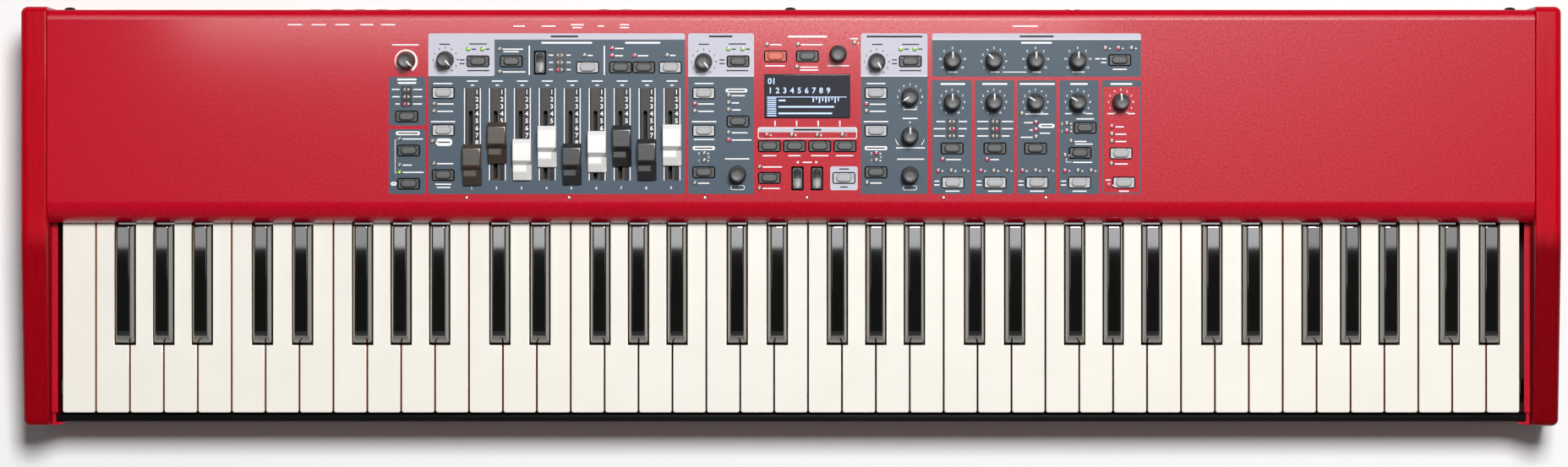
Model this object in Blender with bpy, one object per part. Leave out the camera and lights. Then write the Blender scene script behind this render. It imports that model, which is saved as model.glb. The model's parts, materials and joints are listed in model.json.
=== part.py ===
"""A stage keyboard with 73 keys: a bent steel top panel with organ drawbars, knobs and
buttons, a steel bottom pan, wooden cheeks and a hinged keybed.

Metres, +Z up. +X runs to the player's right and +Y to the rear. The origin is on the
floor, in the middle of the body.
"""

import math

import bmesh
import bpy
from mathutils import Matrix, Vector

# General clearances
PART_GAP = 0.0003            # between fixed pieces that touch
RUNNING_GAP = 0.0006         # between pieces that move past each other
OVERLAP = 0.0008             # how far fused shapes reach into each other

# Keys
WHITE_COUNT = 43
NOTE_NAMES = "EFGABCD"       # the white keys from the left, then over again
FIRST_OCTAVE = 1
KEY_PITCH = 0.0235
WHITE_GAP = 0.0012
WHITE_LENGTH = 0.1317        # from the front edge to the panel's nose
WHITE_SKIRT = 0.020
WHITE_EDGE = 0.0020          # the rounded front edge
BLACK_LENGTH = 0.0823        # from its front edge to its rear end at the nose
BLACK_WIDTH = 0.0136
BLACK_TOP_WIDTH = 0.0092
BLACK_RISE = 0.012
BLACK_FRONT_SLOPE = 0.0075
BLACK_REAR_SLOPE = 0.0012
BLACK_EDGE = 0.0012
BLACK_FRONT_GAP = 0.0014     # a black key's front swings forward as it goes down
BLACK_OFFSETS = {"C": -0.0021, "D": 0.0022, "F": -0.0032, "G": 0.0, "A": 0.0032}
KEY_LEVER = 0.195            # from a white key's front edge to the hinge
KEY_DIP = 0.010              # travel of a white key's front edge
KEY_TAIL = 0.014             # behind the hinge
TAIL_THICKNESS = 0.0085
TAIL_INSET = 0.0004          # a tail is this much narrower on each side
FULCRUM_LENGTH = 0.006
BAR_FRONT = 0.0045           # from the hinge to the bar that joins a group of keys
MIDDLE_FIRST = 19            # the white key C4, where the twelve separate keys begin
MIDDLE_COUNT = 7

# Body
BODY_DEPTH = 0.290
KEY_END_GAP = 0.0034
SIDE_STRIP_WIDTH = 0.0042
CHEEK_THICKNESS = 0.018
FOOT_HEIGHT = 0.006
FOOT_RADIUS = 0.010
FOOT_INSET = 0.035
FOOT_CHAMFER = 0.0012
WHITE_TOP = 0.062            # above the floor
PANEL_RISE = 0.018           # of the panel above the white keys
PANEL_SHEET = 0.0015
PAN_SHEET = 0.0012
PANEL_REAR_INSET = 0.002     # from the cheeks' rear edges
PANEL_REAR_RADIUS = 0.007
NOSE_RADIUS = 0.0145
SIDE_STRIP_DROP = 0.004      # below the white keys
CHEEK_PROUD = 0.002          # above the panel, at the rear
CHEEK_STEP = 0.0125          # how much lower the cheeks are at the front
CHEEK_CREST = 0.0125         # in front of the nose, where the cheeks' tops begin to fall
CHEEK_BLEND = 0.010          # the length over which that fall begins
CHEEK_BOTTOM = 0.0075
CHEEK_CORNER = 0.005
CHEEK_EDGE = 0.0032
SLIP_SETBACK = 0.0027        # from the cheeks' front ends
SLIP_THICKNESS = 0.005
SLIP_DROP = 0.0055           # below the white keys
SLIP_CHAMFER = 0.001
SLIP_KEY_GAP = 0.0014
PAN_LIP_HEIGHT = 0.014
PAN_TOE_LENGTH = 0.0026
PAN_TOE_REACH = 0.0091       # how far a toe reaches inward in front of the slip
PAN_TOE_TIP = 0.0004

# Keybed under the keys
KEYBED_PLATE = 0.002
KEYBED_RAIL_DEPTH = 0.010
KEYBED_RAIL_INSET = 0.012    # from the keys' front edges to the stop rail
STOP_GAP = 0.0005

# Controls: every place is (x, row), the row being its distance behind the panel's nose on
# a panel of the layout's depth. On a deeper or shallower panel the rows spread with it.
LAYOUT_DEPTH = 0.1472
KNOB_RADIUS = 0.0060
KNOB_HEIGHT = 0.0145
KNOB_CROWN = 0.0010
KNOB_SHAFT_RADIUS = 0.003
KNOB_HOLE_GAP = 0.0006
KNOB_FOOT_GAP = 0.0008
KNOB_SIDES = 16
KNOB_PLACES = {
    "master_level_knob": (-0.2652, 0.1116),
    "organ_level_knob": (-0.2384, 0.1123),
    "piano_level_knob": (-0.0603, 0.1110),
    "sample_level_knob": (0.0591, 0.1110),
    "attack_knob": (0.0819, 0.0868),
    "decay_knob": (0.0819, 0.0599),
    "bass_knob": (0.1112, 0.1120),
    "middle_tuning_knob": (0.1398, 0.1120),
    "middle_gain_knob": (0.1685, 0.1120),
    "treble_knob": (0.1976, 0.1120),
    "effect_one_knob": (0.1110, 0.0832),
    "effect_two_knob": (0.1398, 0.0832),
    "speaker_drive_knob": (0.1685, 0.0832),
    "delay_knob": (0.1976, 0.0832),
    "reverb_knob": (0.2273, 0.0832),
    "piano_dial": (-0.0369, 0.0333),
    "program_dial": (0.0324, 0.1164),
    "sample_dial": (0.0819, 0.0328),
}

DRAWBAR_FIRST_X = -0.2197
DRAWBAR_PITCH = 0.0172
DRAWBAR_WIDTH = 0.0133
DRAWBAR_HEIGHT = 0.0105
DRAWBAR_LIP = 0.0022         # height of the cap's front edge
DRAWBAR_FRONT_SLOPE = 0.0058
DRAWBAR_LOW_TOP = 0.0056
DRAWBAR_LOW_FLAT = 0.0047
DRAWBAR_STEP_SLOPE = 0.0028
DRAWBAR_HIGH_FLAT = 0.0119
DRAWBAR_REAR_SLOPE = 0.0032
DRAWBAR_REAR_HEIGHT = 0.0078
DRAWBAR_FOOT_GAP = 0.0008
DRAWBAR_TRAVEL = 0.040
DRAWBAR_MARKS = 8            # the scale's last number, where a drawbar is right out
DRAWBAR_VALUES = (8.0, 5.0, 7.3, 5.5, 7.9, 6.2, 5.4, 7.3, 5.3)
DRAWBAR_OUT_ROW = 0.0257     # the front edge of a cap that is right out
STEM_WIDTH = 0.0016
STEM_LENGTH = 0.006
STEM_FROM_FRONT = 0.0080
STEM_SIDE = -0.0012          # the slot is a little left of the cap's middle

BUTTON_WIDTH = 0.0143
BUTTON_DEPTH = 0.0067
BUTTON_RISE = 0.0023
BUTTON_TRAVEL = 0.0008
BUTTON_HOLE_GAP = 0.0008
PLUNGER_SIZE = 0.0035
ROCKER_WIDTH = 0.0070
ROCKER_DEPTH = 0.0150
ORGAN_BUTTONS = [
    (-0.2650, 0.0732), (-0.2637, 0.0497), (-0.2637, 0.0268), (-0.2399, 0.0895),
    (-0.2399, 0.0637), (-0.2399, 0.0328), (-0.2159, 0.1113), (-0.1929, 0.1113),
    (-0.1403, 0.1071), (-0.1176, 0.1071), (-0.1016, 0.1071), (-0.0833, 0.1071),
]
ORGAN_ROCKERS = [(-0.1731, 0.1104)]
MIDDLE_BUTTONS = [
    (-0.0366, 0.1113), (-0.0602, 0.0893), (-0.0602, 0.0634), (-0.0602, 0.0347),
    (-0.0366, 0.0698), (-0.0108, 0.1148), (0.0112, 0.1148), (-0.0150, 0.0527),
    (0.0023, 0.0527), (0.0197, 0.0527), (0.0371, 0.0527), (-0.0150, 0.0308),
    (0.0364, 0.0308), (0.0822, 0.1113), (0.0585, 0.0893), (0.0585, 0.0634),
    (0.0585, 0.0347),
]
MIDDLE_ROCKERS = [(0.0044, 0.0305), (0.0178, 0.0305)]
EFFECT_BUTTONS = [
    (0.2266, 0.1121), (0.1110, 0.0512), (0.1405, 0.0512), (0.1685, 0.0512),
    (0.2027, 0.0654), (0.1992, 0.0481), (0.2274, 0.0478), (0.1115, 0.0276),
    (0.1406, 0.0276), (0.1695, 0.0276), (0.1988, 0.0276), (0.2294, 0.0276),
]

# Below the panel
MAT_THICKNESS = 0.0015
MAT_DROP = 0.004             # from the top of the panel to the top of the mats
MAT_MARGIN = 0.0035
MAT_CLEARANCE = 0.0015
BOARD_THICKNESS = 0.0016
BOARD_DROP = 0.014           # from the top of the panel to the top of the control board
BOARD_MARGIN = 0.008
POST_SIZE = 0.005
POT_SIZE = 0.0096
POT_HEIGHT = 0.0052
SLIDER_LENGTH = 0.056

DISPLAY_PLACE = (0.0111, 0.0872)
DISPLAY_WIDTH = 0.0588
DISPLAY_DEPTH = 0.0300
DISPLAY_FRAME = 0.002        # of the module around its window
DISPLAY_RISE = 0.0002

SCREW_HOLE_RADIUS = 0.0012
SCREW_ROW = 0.0172
SCREW_PLACES = (-0.2238, -0.1532, -0.0594, 0.0109, 0.1051, 0.1757)

# Rear sockets, on the main board
MAIN_BOARD_LIFT = 0.0168     # from the pan to the top of the board
MAIN_BOARD_DEPTH = 0.050
MAIN_BOARD_MARGIN = 0.014
SOCKET_RISE = 0.010          # from the board to the middle of the sockets
JACK_PLACES = (-0.3325, -0.3167, -0.3009, -0.2851, -0.2693, -0.1311, -0.1148)
JACK_BORE_RADIUS = 0.0034
JACK_BORE_DEPTH = 0.022
JACK_BARREL_RADIUS = 0.0046
JACK_BARREL_PROUD = 0.002
JACK_BODY_SIZE = (0.0142, 0.024, 0.018)
ROUND_SOCKET_PLACES = (-0.1876, -0.1674)
ROUND_SOCKET_BORE_RADIUS = 0.0068
ROUND_SOCKET_BORE_DEPTH = 0.009
ROUND_SOCKET_SIZE = (0.0180, 0.014, 0.0190)
DATA_SOCKET_PLACE = -0.1474
DATA_SOCKET_SIZE = (0.0120, 0.016, 0.0155)
DATA_SOCKET_BORE = (0.0100, 0.012, 0.0090)
POWER_SOCKET_PLACE = 0.1630
POWER_SOCKET_SIZE = (0.0280, 0.022, 0.0202)
POWER_SOCKET_BORE = (0.0245, 0.017, 0.0168)
SWITCH_PLACE = 0.1960
SWITCH_WIDTH = 0.0100
SWITCH_HEIGHT = 0.0170
SWITCH_BACK = 0.0030         # from the switch's hinge to its back
SWITCH_FRONT = 0.0040        # from the hinge to the ends of its face
SWITCH_DENT = 0.0010         # the hollow in the middle of its face
SWITCH_HINGE_DEPTH = 0.0032  # of the hinge inside the panel's rear face
SWITCH_THROW = 12.0          # degrees from off to on
SWITCH_WALL = 0.0015
SWITCH_BOX_DEPTH = 0.010
SOCKET_HOLE_GAP = 0.0004
ROUND_SIDES = 16

# Worked out from the sizes above
KEYS_HALF = WHITE_COUNT * KEY_PITCH / 2
CHASSIS_HALF = KEYS_HALF + KEY_END_GAP + SIDE_STRIP_WIDTH
CHEEK_INNER = CHASSIS_HALF + PART_GAP
CHEEK_OUTER = CHEEK_INNER + CHEEK_THICKNESS
BODY_FRONT = -BODY_DEPTH / 2
BODY_REAR = BODY_DEPTH / 2
TOE_FRONT = BODY_FRONT + PART_GAP
SLIP_FRONT = BODY_FRONT + SLIP_SETBACK
SLIP_REAR = SLIP_FRONT + SLIP_THICKNESS
KEY_FRONT = SLIP_REAR + SLIP_KEY_GAP
NOSE = KEY_FRONT + WHITE_LENGTH
HINGE_Y = KEY_FRONT + KEY_LEVER
TAIL_END = HINGE_Y + KEY_TAIL
TAIL_FRONT = NOSE + 2 * PANEL_SHEET
BLACK_REAR = NOSE - 2 * RUNNING_GAP
BLACK_FRONT = BLACK_REAR - BLACK_LENGTH
PANEL_REAR = BODY_REAR - PANEL_REAR_INSET
WALL_INNER = PANEL_REAR - PANEL_SHEET
SOCKET_FACE = WALL_INNER - PART_GAP
PAN_FLOOR = FOOT_HEIGHT + PAN_SHEET
PAN_LIP_TOP = PAN_FLOOR + PAN_LIP_HEIGHT
SIDE_STRIP_TOP = WHITE_TOP - SIDE_STRIP_DROP
SLIP_TOP = WHITE_TOP - SLIP_DROP
KEY_BOTTOM = WHITE_TOP - WHITE_SKIRT
HINGE_Z = KEY_BOTTOM
WHITE_TAIL_BOTTOM = WHITE_TOP - TAIL_THICKNESS
BLACK_TAIL_TOP = KEY_BOTTOM + TAIL_THICKNESS
BLACK_SHOULDER = WHITE_TOP - RUNNING_GAP
KEYBED_BOTTOM = PAN_FLOOR + PART_GAP
PANEL_TOP = WHITE_TOP + PANEL_RISE
PANEL_UNDER = PANEL_TOP - PANEL_SHEET
MAT_TOP = PANEL_TOP - MAT_DROP
MAT_BOTTOM = MAT_TOP - MAT_THICKNESS
MAT_MIDDLE = (MAT_TOP + MAT_BOTTOM) / 2
BOARD_TOP = PANEL_TOP - BOARD_DROP
BOARD_BOTTOM = BOARD_TOP - BOARD_THICKNESS
BOARD_MIDDLE = (BOARD_TOP + BOARD_BOTTOM) / 2
POT_TOP = BOARD_TOP + POT_HEIGHT
SHAFT_BOTTOM = POT_TOP + RUNNING_GAP
PLUNGER_BOTTOM = BOARD_TOP + BUTTON_TRAVEL + PART_GAP
MAIN_BOARD_TOP = PAN_FLOOR + MAIN_BOARD_LIFT
SOCKET_HEIGHT = MAIN_BOARD_TOP + SOCKET_RISE
ROW_SPREAD = (PANEL_REAR - NOSE) / LAYOUT_DEPTH
DRAWBAR_OUT_Y = NOSE + DRAWBAR_OUT_ROW * ROW_SPREAD
SLOT_LENGTH = DRAWBAR_TRAVEL + STEM_LENGTH + 2 * RUNNING_GAP
SLOT_Y = DRAWBAR_OUT_Y + STEM_FROM_FRONT + DRAWBAR_TRAVEL / 2
SWITCH_HINGE_Y = PANEL_REAR - SWITCH_HINGE_DEPTH


# Materials

def material(name, color, roughness, metallic=0.0):
    """A plain Principled material, made once for each name."""
    found = bpy.data.materials.get(name)
    if found:
        return found
    made = bpy.data.materials.new(name)
    made.use_nodes = True
    shader = made.node_tree.nodes["Principled BSDF"]
    shader.inputs["Base Color"].default_value = (*color, 1.0)
    shader.inputs["Roughness"].default_value = roughness
    shader.inputs["Metallic"].default_value = metallic
    return made


def red_coat():
    return material("red_powder_coat", (0.50, 0.012, 0.035), 0.45)


def red_wood():
    return material("red_stained_wood", (0.42, 0.004, 0.010), 0.35)


def ivory_plastic():
    return material("ivory_plastic", (0.87, 0.85, 0.78), 0.30)


def black_plastic():
    return material("black_plastic", (0.012, 0.012, 0.013), 0.18)


def dark_plastic():
    return material("dark_plastic", (0.025, 0.026, 0.028), 0.45)


def brown_plastic():
    return material("brown_plastic", (0.075, 0.050, 0.042), 0.40)


def white_plastic():
    return material("white_plastic", (0.85, 0.84, 0.82), 0.35)


def button_silicone():
    return material("button_silicone", (0.060, 0.065, 0.065), 0.55)


def black_rubber():
    return material("black_rubber", (0.015, 0.015, 0.015), 0.85)


def green_board():
    return material("green_board", (0.015, 0.16, 0.07), 0.45)


def display_glass():
    return material("display_glass", (0.012, 0.025, 0.055), 0.10)


def keybed_steel():
    return material("keybed_steel", (0.45, 0.46, 0.47), 0.35, 1.0)


# Shapes

def add_box(bm, x_range, y_range, z_range):
    """Adds a closed box to a mesh under construction."""
    corners = [(x, y, z) for z in z_range for y in y_range for x in x_range]
    verts = [bm.verts.new(corner) for corner in corners]
    for loop in ((0, 2, 3, 1), (4, 5, 7, 6), (0, 1, 5, 4), (1, 3, 7, 5), (3, 2, 6, 7), (2, 0, 4, 6)):
        bm.faces.new([verts[i] for i in loop])


def add_prism(bm, outline, low, high, axis="Z"):
    """Pushes an outline from low to high along an axis. Its points run anticlockwise seen
    from the axis's positive end: (x, y) along Z, (y, z) along X and (z, x) along Y."""
    def point(pair, depth):
        if axis == "X":
            return (depth, pair[0], pair[1])
        if axis == "Y":
            return (pair[1], depth, pair[0])
        return (pair[0], pair[1], depth)
    start = [bm.verts.new(point(pair, low)) for pair in outline]
    end = [bm.verts.new(point(pair, high)) for pair in outline]
    bm.faces.new(list(reversed(start)))
    bm.faces.new(end)
    count = len(outline)
    for i in range(count):
        j = (i + 1) % count
        bm.faces.new((start[i], start[j], end[j], end[i]))


def add_turned(bm, profile, centre, sides):
    """Turns a profile of (radius, z), bottom to top and on the axis at both ends."""
    rings = []
    for radius, z in profile:
        if radius == 0.0:
            rings.append([bm.verts.new((centre[0], centre[1], z))])
        else:
            rings.append([bm.verts.new((x, y, z)) for x, y in circle(radius, sides, centre)])
    for lower, upper in zip(rings, rings[1:]):
        for i in range(sides):
            j = (i + 1) % sides
            if len(lower) == 1:
                bm.faces.new((lower[0], upper[j], upper[i]))
            elif len(upper) == 1:
                bm.faces.new((lower[i], lower[j], upper[0]))
            else:
                bm.faces.new((lower[i], lower[j], upper[j], upper[i]))


def circle(radius, sides, centre=(0.0, 0.0)):
    """Points of a circle, anticlockwise."""
    turn = 2 * math.pi / sides
    return [(centre[0] + radius * math.cos(turn * (i + 0.5)),
             centre[1] + radius * math.sin(turn * (i + 0.5))) for i in range(sides)]


def arc(centre, radius, start, end, steps):
    """Points of an arc from one angle to another, in degrees."""
    points = []
    for i in range(steps + 1):
        angle = math.radians(start + (end - start) * i / steps)
        points.append((centre[0] + radius * math.cos(angle), centre[1] + radius * math.sin(angle)))
    return points


def around(middle, size):
    """The range of a size about its middle."""
    return (middle - size / 2, middle + size / 2)


def place(name, bm, look):
    """Makes the mesh under construction an object with its material."""
    mesh = bpy.data.meshes.new(name)
    bm.to_mesh(mesh)
    bm.free()
    mesh.materials.append(look)
    made = bpy.data.objects.new(name, mesh)
    bpy.context.collection.objects.link(made)
    return made


def combine(target, bm, operation):
    """Fuses (UNION) or cuts (DIFFERENCE) the mesh under construction into an object."""
    tool = place("tool", bm, target.data.materials[0])
    change = target.modifiers.new(operation.lower(), "BOOLEAN")
    change.operation = operation
    change.object = tool
    graph = bpy.context.evaluated_depsgraph_get()
    result = bpy.data.meshes.new_from_object(target.evaluated_get(graph))
    old_mesh, tool_mesh = target.data, tool.data
    target.modifiers.clear()
    target.data = result
    bpy.data.objects.remove(tool)
    bpy.data.meshes.remove(tool_mesh)
    bpy.data.meshes.remove(old_mesh)


def fuse(target, bm):
    combine(target, bm, "UNION")


def cut(target, bm):
    combine(target, bm, "DIFFERENCE")


def shade_round(made, angle=35.0):
    """Shades an object smooth except at its sharp edges."""
    made.data.shade_smooth()
    made.data.set_sharp_from_angle(angle=math.radians(angle))


def set_origin(made, origin):
    """Moves an object's origin onto its joint without moving its mesh."""
    shift = Vector(origin)
    made.data.transform(Matrix.Translation(-shift))
    made.location = shift


def panel_y(row):
    """The y of a control from its row."""
    return NOSE + row * ROW_SPREAD


def drawbar_x(index):
    return DRAWBAR_FIRST_X + index * DRAWBAR_PITCH


# Casing

def panel_section(inset):
    """The panel's bent section in y and z from the rear wall to the nose, drawn in by inset."""
    rear_centre = (PANEL_REAR - PANEL_REAR_RADIUS, PANEL_TOP - PANEL_REAR_RADIUS)
    nose_centre = (NOSE + NOSE_RADIUS, PANEL_TOP - NOSE_RADIUS)
    return (arc(rear_centre, PANEL_REAR_RADIUS - inset, 0, 90, 4)
            + arc(nose_centre, NOSE_RADIUS - inset, 90, 180, 6))


def make_top_panel():
    """The bent top sheet with its rear wall, rounded nose, side flanges and holes."""
    wall_bottom = PAN_FLOOR + PART_GAP
    outer = [(PANEL_REAR, wall_bottom)] + panel_section(0.0)
    inner = [(WALL_INNER, wall_bottom)] + panel_section(PANEL_SHEET)
    bm = bmesh.new()
    add_prism(bm, outer + list(reversed(inner)), -CHASSIS_HALF, CHASSIS_HALF, "X")
    panel = place("top_panel", bm, red_coat())
    fuse(panel, side_flanges())
    cut(panel, control_holes())
    cut(panel, socket_holes())
    shade_round(panel)


def side_flanges():
    """The panel's two folded sides, which stand on the pan's strips."""
    inset = PANEL_SHEET / 2
    bottom = SIDE_STRIP_TOP + PART_GAP
    outline = panel_section(inset) + [(NOSE + inset, bottom), (PANEL_REAR - inset, bottom)]
    bm = bmesh.new()
    edge = CHASSIS_HALF - PART_GAP
    for low, high in ((-edge, -edge + PANEL_SHEET), (edge - PANEL_SHEET, edge)):
        add_prism(bm, outline, low, high, "X")
    return bm


def control_holes():
    """Cutters for the knobs, buttons, drawbars, screws and display."""
    bm = bmesh.new()
    heights = (PANEL_UNDER - PANEL_SHEET, PANEL_TOP + PANEL_SHEET)
    for x, row in KNOB_PLACES.values():
        add_prism(bm, circle(KNOB_SHAFT_RADIUS + KNOB_HOLE_GAP, 12, (x, panel_y(row))), *heights)
    for x, row in ORGAN_BUTTONS + MIDDLE_BUTTONS + EFFECT_BUTTONS:
        add_box(bm, around(x, BUTTON_WIDTH + 2 * BUTTON_HOLE_GAP),
                around(panel_y(row), BUTTON_DEPTH + 2 * BUTTON_HOLE_GAP), heights)
    for x, row in ORGAN_ROCKERS + MIDDLE_ROCKERS:
        add_box(bm, around(x, ROCKER_WIDTH + 2 * BUTTON_HOLE_GAP),
                around(panel_y(row), ROCKER_DEPTH + 2 * BUTTON_HOLE_GAP), heights)
    for index in range(len(DRAWBAR_VALUES)):
        add_box(bm, around(drawbar_x(index) + STEM_SIDE, STEM_WIDTH + 2 * RUNNING_GAP),
                around(SLOT_Y, SLOT_LENGTH), heights)
    add_box(bm, around(DISPLAY_PLACE[0], DISPLAY_WIDTH + 2 * PART_GAP),
            around(panel_y(DISPLAY_PLACE[1]), DISPLAY_DEPTH + 2 * PART_GAP), heights)
    for x in SCREW_PLACES:
        add_prism(bm, circle(SCREW_HOLE_RADIUS, 8, (x, panel_y(SCREW_ROW))), *heights)
    return bm


def socket_holes():
    """Cutters for the sockets and the power switch in the rear wall."""
    bm = bmesh.new()
    through = (WALL_INNER - PANEL_SHEET, PANEL_REAR + PANEL_SHEET)
    gap = 2 * RUNNING_GAP
    for x in JACK_PLACES:
        add_prism(bm, circle(JACK_BARREL_RADIUS + SOCKET_HOLE_GAP, ROUND_SIDES, (SOCKET_HEIGHT, x)),
                  *through, "Y")
    for x in ROUND_SOCKET_PLACES:
        add_prism(bm, circle(ROUND_SOCKET_BORE_RADIUS + SOCKET_HOLE_GAP, ROUND_SIDES,
                             (SOCKET_HEIGHT, x)), *through, "Y")
    for x, width, height in ((DATA_SOCKET_PLACE, DATA_SOCKET_BORE[0], DATA_SOCKET_BORE[2]),
                             (POWER_SOCKET_PLACE, POWER_SOCKET_BORE[0], POWER_SOCKET_BORE[2]),
                             (SWITCH_PLACE, SWITCH_WIDTH + gap, SWITCH_HEIGHT + gap)):
        add_box(bm, around(x, width), through, around(SOCKET_HEIGHT, height))
    return bm


def make_bottom_pan():
    """The folded tray: floor, side walls with the strips beside the keys, front lip and two toes."""
    wall = PAN_SHEET
    strip_inner = CHASSIS_HALF - SIDE_STRIP_WIDTH
    right = [
        (PAN_FLOOR, CHASSIS_HALF - wall), (SIDE_STRIP_TOP - wall, CHASSIS_HALF - wall),
        (SIDE_STRIP_TOP - wall, strip_inner), (SIDE_STRIP_TOP, strip_inner),
        (SIDE_STRIP_TOP, CHASSIS_HALF), (FOOT_HEIGHT, CHASSIS_HALF),
    ]
    left = [(z, -x) for z, x in reversed(right)]
    bm = bmesh.new()
    add_prism(bm, list(reversed(right + left)), KEY_FRONT, SOCKET_FACE, "Y")
    pan = place("bottom_pan", bm, red_coat())
    bm = bmesh.new()
    add_box(bm, (-CHASSIS_HALF, CHASSIS_HALF), (SLIP_FRONT, KEY_FRONT + wall), (FOOT_HEIGHT, PAN_FLOOR))
    fuse(pan, bm)
    bm = bmesh.new()
    add_box(bm, (-CHASSIS_HALF, CHASSIS_HALF), (SLIP_FRONT, SLIP_FRONT + wall),
            (FOOT_HEIGHT + wall / 2, PAN_LIP_TOP))
    fuse(pan, bm)
    bm = bmesh.new()
    for outline in toe_outlines():
        add_prism(bm, outline, FOOT_HEIGHT + wall / 2, SLIP_TOP - wall)
    fuse(pan, bm)


def toe_outlines():
    """The two toes in x and y: beside the slip's ends, and tapering inward in front of it."""
    outer, inner = CHASSIS_HALF, CHASSIS_HALF - PAN_TOE_LENGTH
    rear, behind_tip = KEY_FRONT + PAN_SHEET, SLIP_FRONT - PART_GAP
    tip = CHASSIS_HALF - PAN_TOE_REACH
    right = [(outer, TOE_FRONT), (outer, rear), (inner, rear), (inner, behind_tip), (tip, behind_tip),
             (tip, behind_tip - PAN_TOE_TIP), (inner, TOE_FRONT)]
    left = [(-x, y) for x, y in reversed(right)]
    return right, left


def cheek_fall(distance, length):
    """How far a cheek's top has fallen in front of its crest: a blend, then a straight slope."""
    slope = CHEEK_STEP / (length - CHEEK_BLEND / 2)
    if distance < CHEEK_BLEND:
        return slope * distance ** 2 / (2 * CHEEK_BLEND)
    return slope * (distance - CHEEK_BLEND / 2)


def cheek_outline():
    """The cheek's outline in y and z: level beside the panel, sloping down beside the keys."""
    top = PANEL_TOP + CHEEK_PROUD
    low_top = top - CHEEK_STEP
    crest = NOSE - CHEEK_CREST
    r = CHEEK_CORNER
    points = arc((BODY_REAR - r, CHEEK_BOTTOM + r), r, -90, 0, 3)
    points += arc((BODY_REAR - r, top - r), r, 0, 90, 3)
    for share in (0.0, 0.25, 0.5, 0.75, 1.0):
        distance = share * CHEEK_BLEND
        points.append((crest - distance, top - cheek_fall(distance, crest - BODY_FRONT - r)))
    points += arc((BODY_FRONT + r, low_top - r), r, 90, 180, 4)
    points += arc((BODY_FRONT + r, CHEEK_BOTTOM + r), r, 180, 270, 3)
    return points


def make_cheek(name, side):
    """A wooden cheek with its outer edge rounded."""
    inner, outer = side * CHEEK_INNER, side * CHEEK_OUTER
    bm = bmesh.new()
    add_prism(bm, cheek_outline(), min(inner, outer), max(inner, outer), "X")
    rim = [edge for edge in bm.edges if all(abs(vert.co.x - outer) < PART_GAP for vert in edge.verts)]
    bmesh.ops.bevel(bm, geom=rim, offset=CHEEK_EDGE, segments=3, profile=0.5, affect="EDGES")
    shade_round(place(name, bm, red_wood()))


def make_key_slip():
    """The black rail in front of the keys, on the pan's front lip."""
    half = CHASSIS_HALF - PAN_TOE_LENGTH - PART_GAP
    bottom = PAN_LIP_TOP + PART_GAP
    outline = [
        (SLIP_FRONT, bottom), (SLIP_REAR, bottom), (SLIP_REAR, SLIP_TOP - SLIP_CHAMFER),
        (SLIP_REAR - SLIP_CHAMFER, SLIP_TOP), (SLIP_FRONT + SLIP_CHAMFER, SLIP_TOP),
        (SLIP_FRONT, SLIP_TOP - SLIP_CHAMFER),
    ]
    bm = bmesh.new()
    add_prism(bm, outline, -half, half, "X")
    place("key_slip", bm, dark_plastic())


def make_feet():
    """Four rubber feet under the pan, chamfered where they meet the floor."""
    for name, side, end in (("front_left_foot", -1, -1), ("front_right_foot", 1, -1),
                            ("rear_left_foot", -1, 1), ("rear_right_foot", 1, 1)):
        centre = (side * (CHASSIS_HALF - FOOT_INSET), end * (BODY_REAR - FOOT_INSET))
        top = FOOT_HEIGHT - PART_GAP
        profile = [(0.0, 0.0), (FOOT_RADIUS - FOOT_CHAMFER, 0.0), (FOOT_RADIUS, FOOT_CHAMFER),
                   (FOOT_RADIUS, top), (0.0, top)]
        bm = bmesh.new()
        add_turned(bm, profile, centre, ROUND_SIDES)
        shade_round(place(name, bm, black_rubber()))


# Keys

def note(index):
    """The name of a white key's note."""
    return NOTE_NAMES[index % len(NOTE_NAMES)]


def octave(index):
    """The octave number of a white key, which changes at each C."""
    return FIRST_OCTAVE + (index + len(NOTE_NAMES) - NOTE_NAMES.index("C")) // len(NOTE_NAMES)


def boundary(index):
    """The line between a white key and the one on its right."""
    return -KEYS_HALF + (index + 1) * KEY_PITCH


def has_black(index):
    """Whether a black key stands between a white key and the one on its right."""
    return 0 <= index < WHITE_COUNT - 1 and note(index) in BLACK_OFFSETS


def black_x(index):
    return boundary(index) + BLACK_OFFSETS[note(index)]


def white_neck(index):
    """The x range of a white key between the black keys beside it."""
    notch = BLACK_WIDTH / 2 + RUNNING_GAP
    left = black_x(index - 1) + notch if has_black(index - 1) else boundary(index - 1) + WHITE_GAP / 2
    right = black_x(index) - notch if has_black(index) else boundary(index) - WHITE_GAP / 2
    return left, right


def add_white_front(bm, index):
    """The part of a white key that shows, with its notches and its rounded front edge."""
    left = boundary(index - 1) + WHITE_GAP / 2
    right = boundary(index) - WHITE_GAP / 2
    neck_left, neck_right = white_neck(index)
    notch_y = BLACK_FRONT - BLACK_FRONT_GAP
    plan = [(left, KEY_FRONT + WHITE_EDGE), (right, KEY_FRONT + WHITE_EDGE)]
    if has_black(index):
        plan += [(right, notch_y), (neck_right, notch_y)]
    plan += [(neck_right, TAIL_FRONT), (neck_left, TAIL_FRONT)]
    if has_black(index - 1):
        plan += [(neck_left, notch_y), (left, notch_y)]
    first_face = len(bm.faces)
    add_prism(bm, plan, KEY_BOTTOM, WHITE_TOP)
    bm.faces.ensure_lookup_table()
    front = next(face for face in bm.faces[first_face:]
                 if all(abs(vert.co.y - KEY_FRONT - WHITE_EDGE) < PART_GAP for vert in face.verts))
    pushed = bmesh.ops.extrude_discrete_faces(bm, faces=[front])["faces"][0]
    for vert in pushed.verts:
        vert.co.y = KEY_FRONT
        if vert.co.z > (KEY_BOTTOM + WHITE_TOP) / 2:
            vert.co.z = WHITE_TOP - WHITE_EDGE


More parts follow.
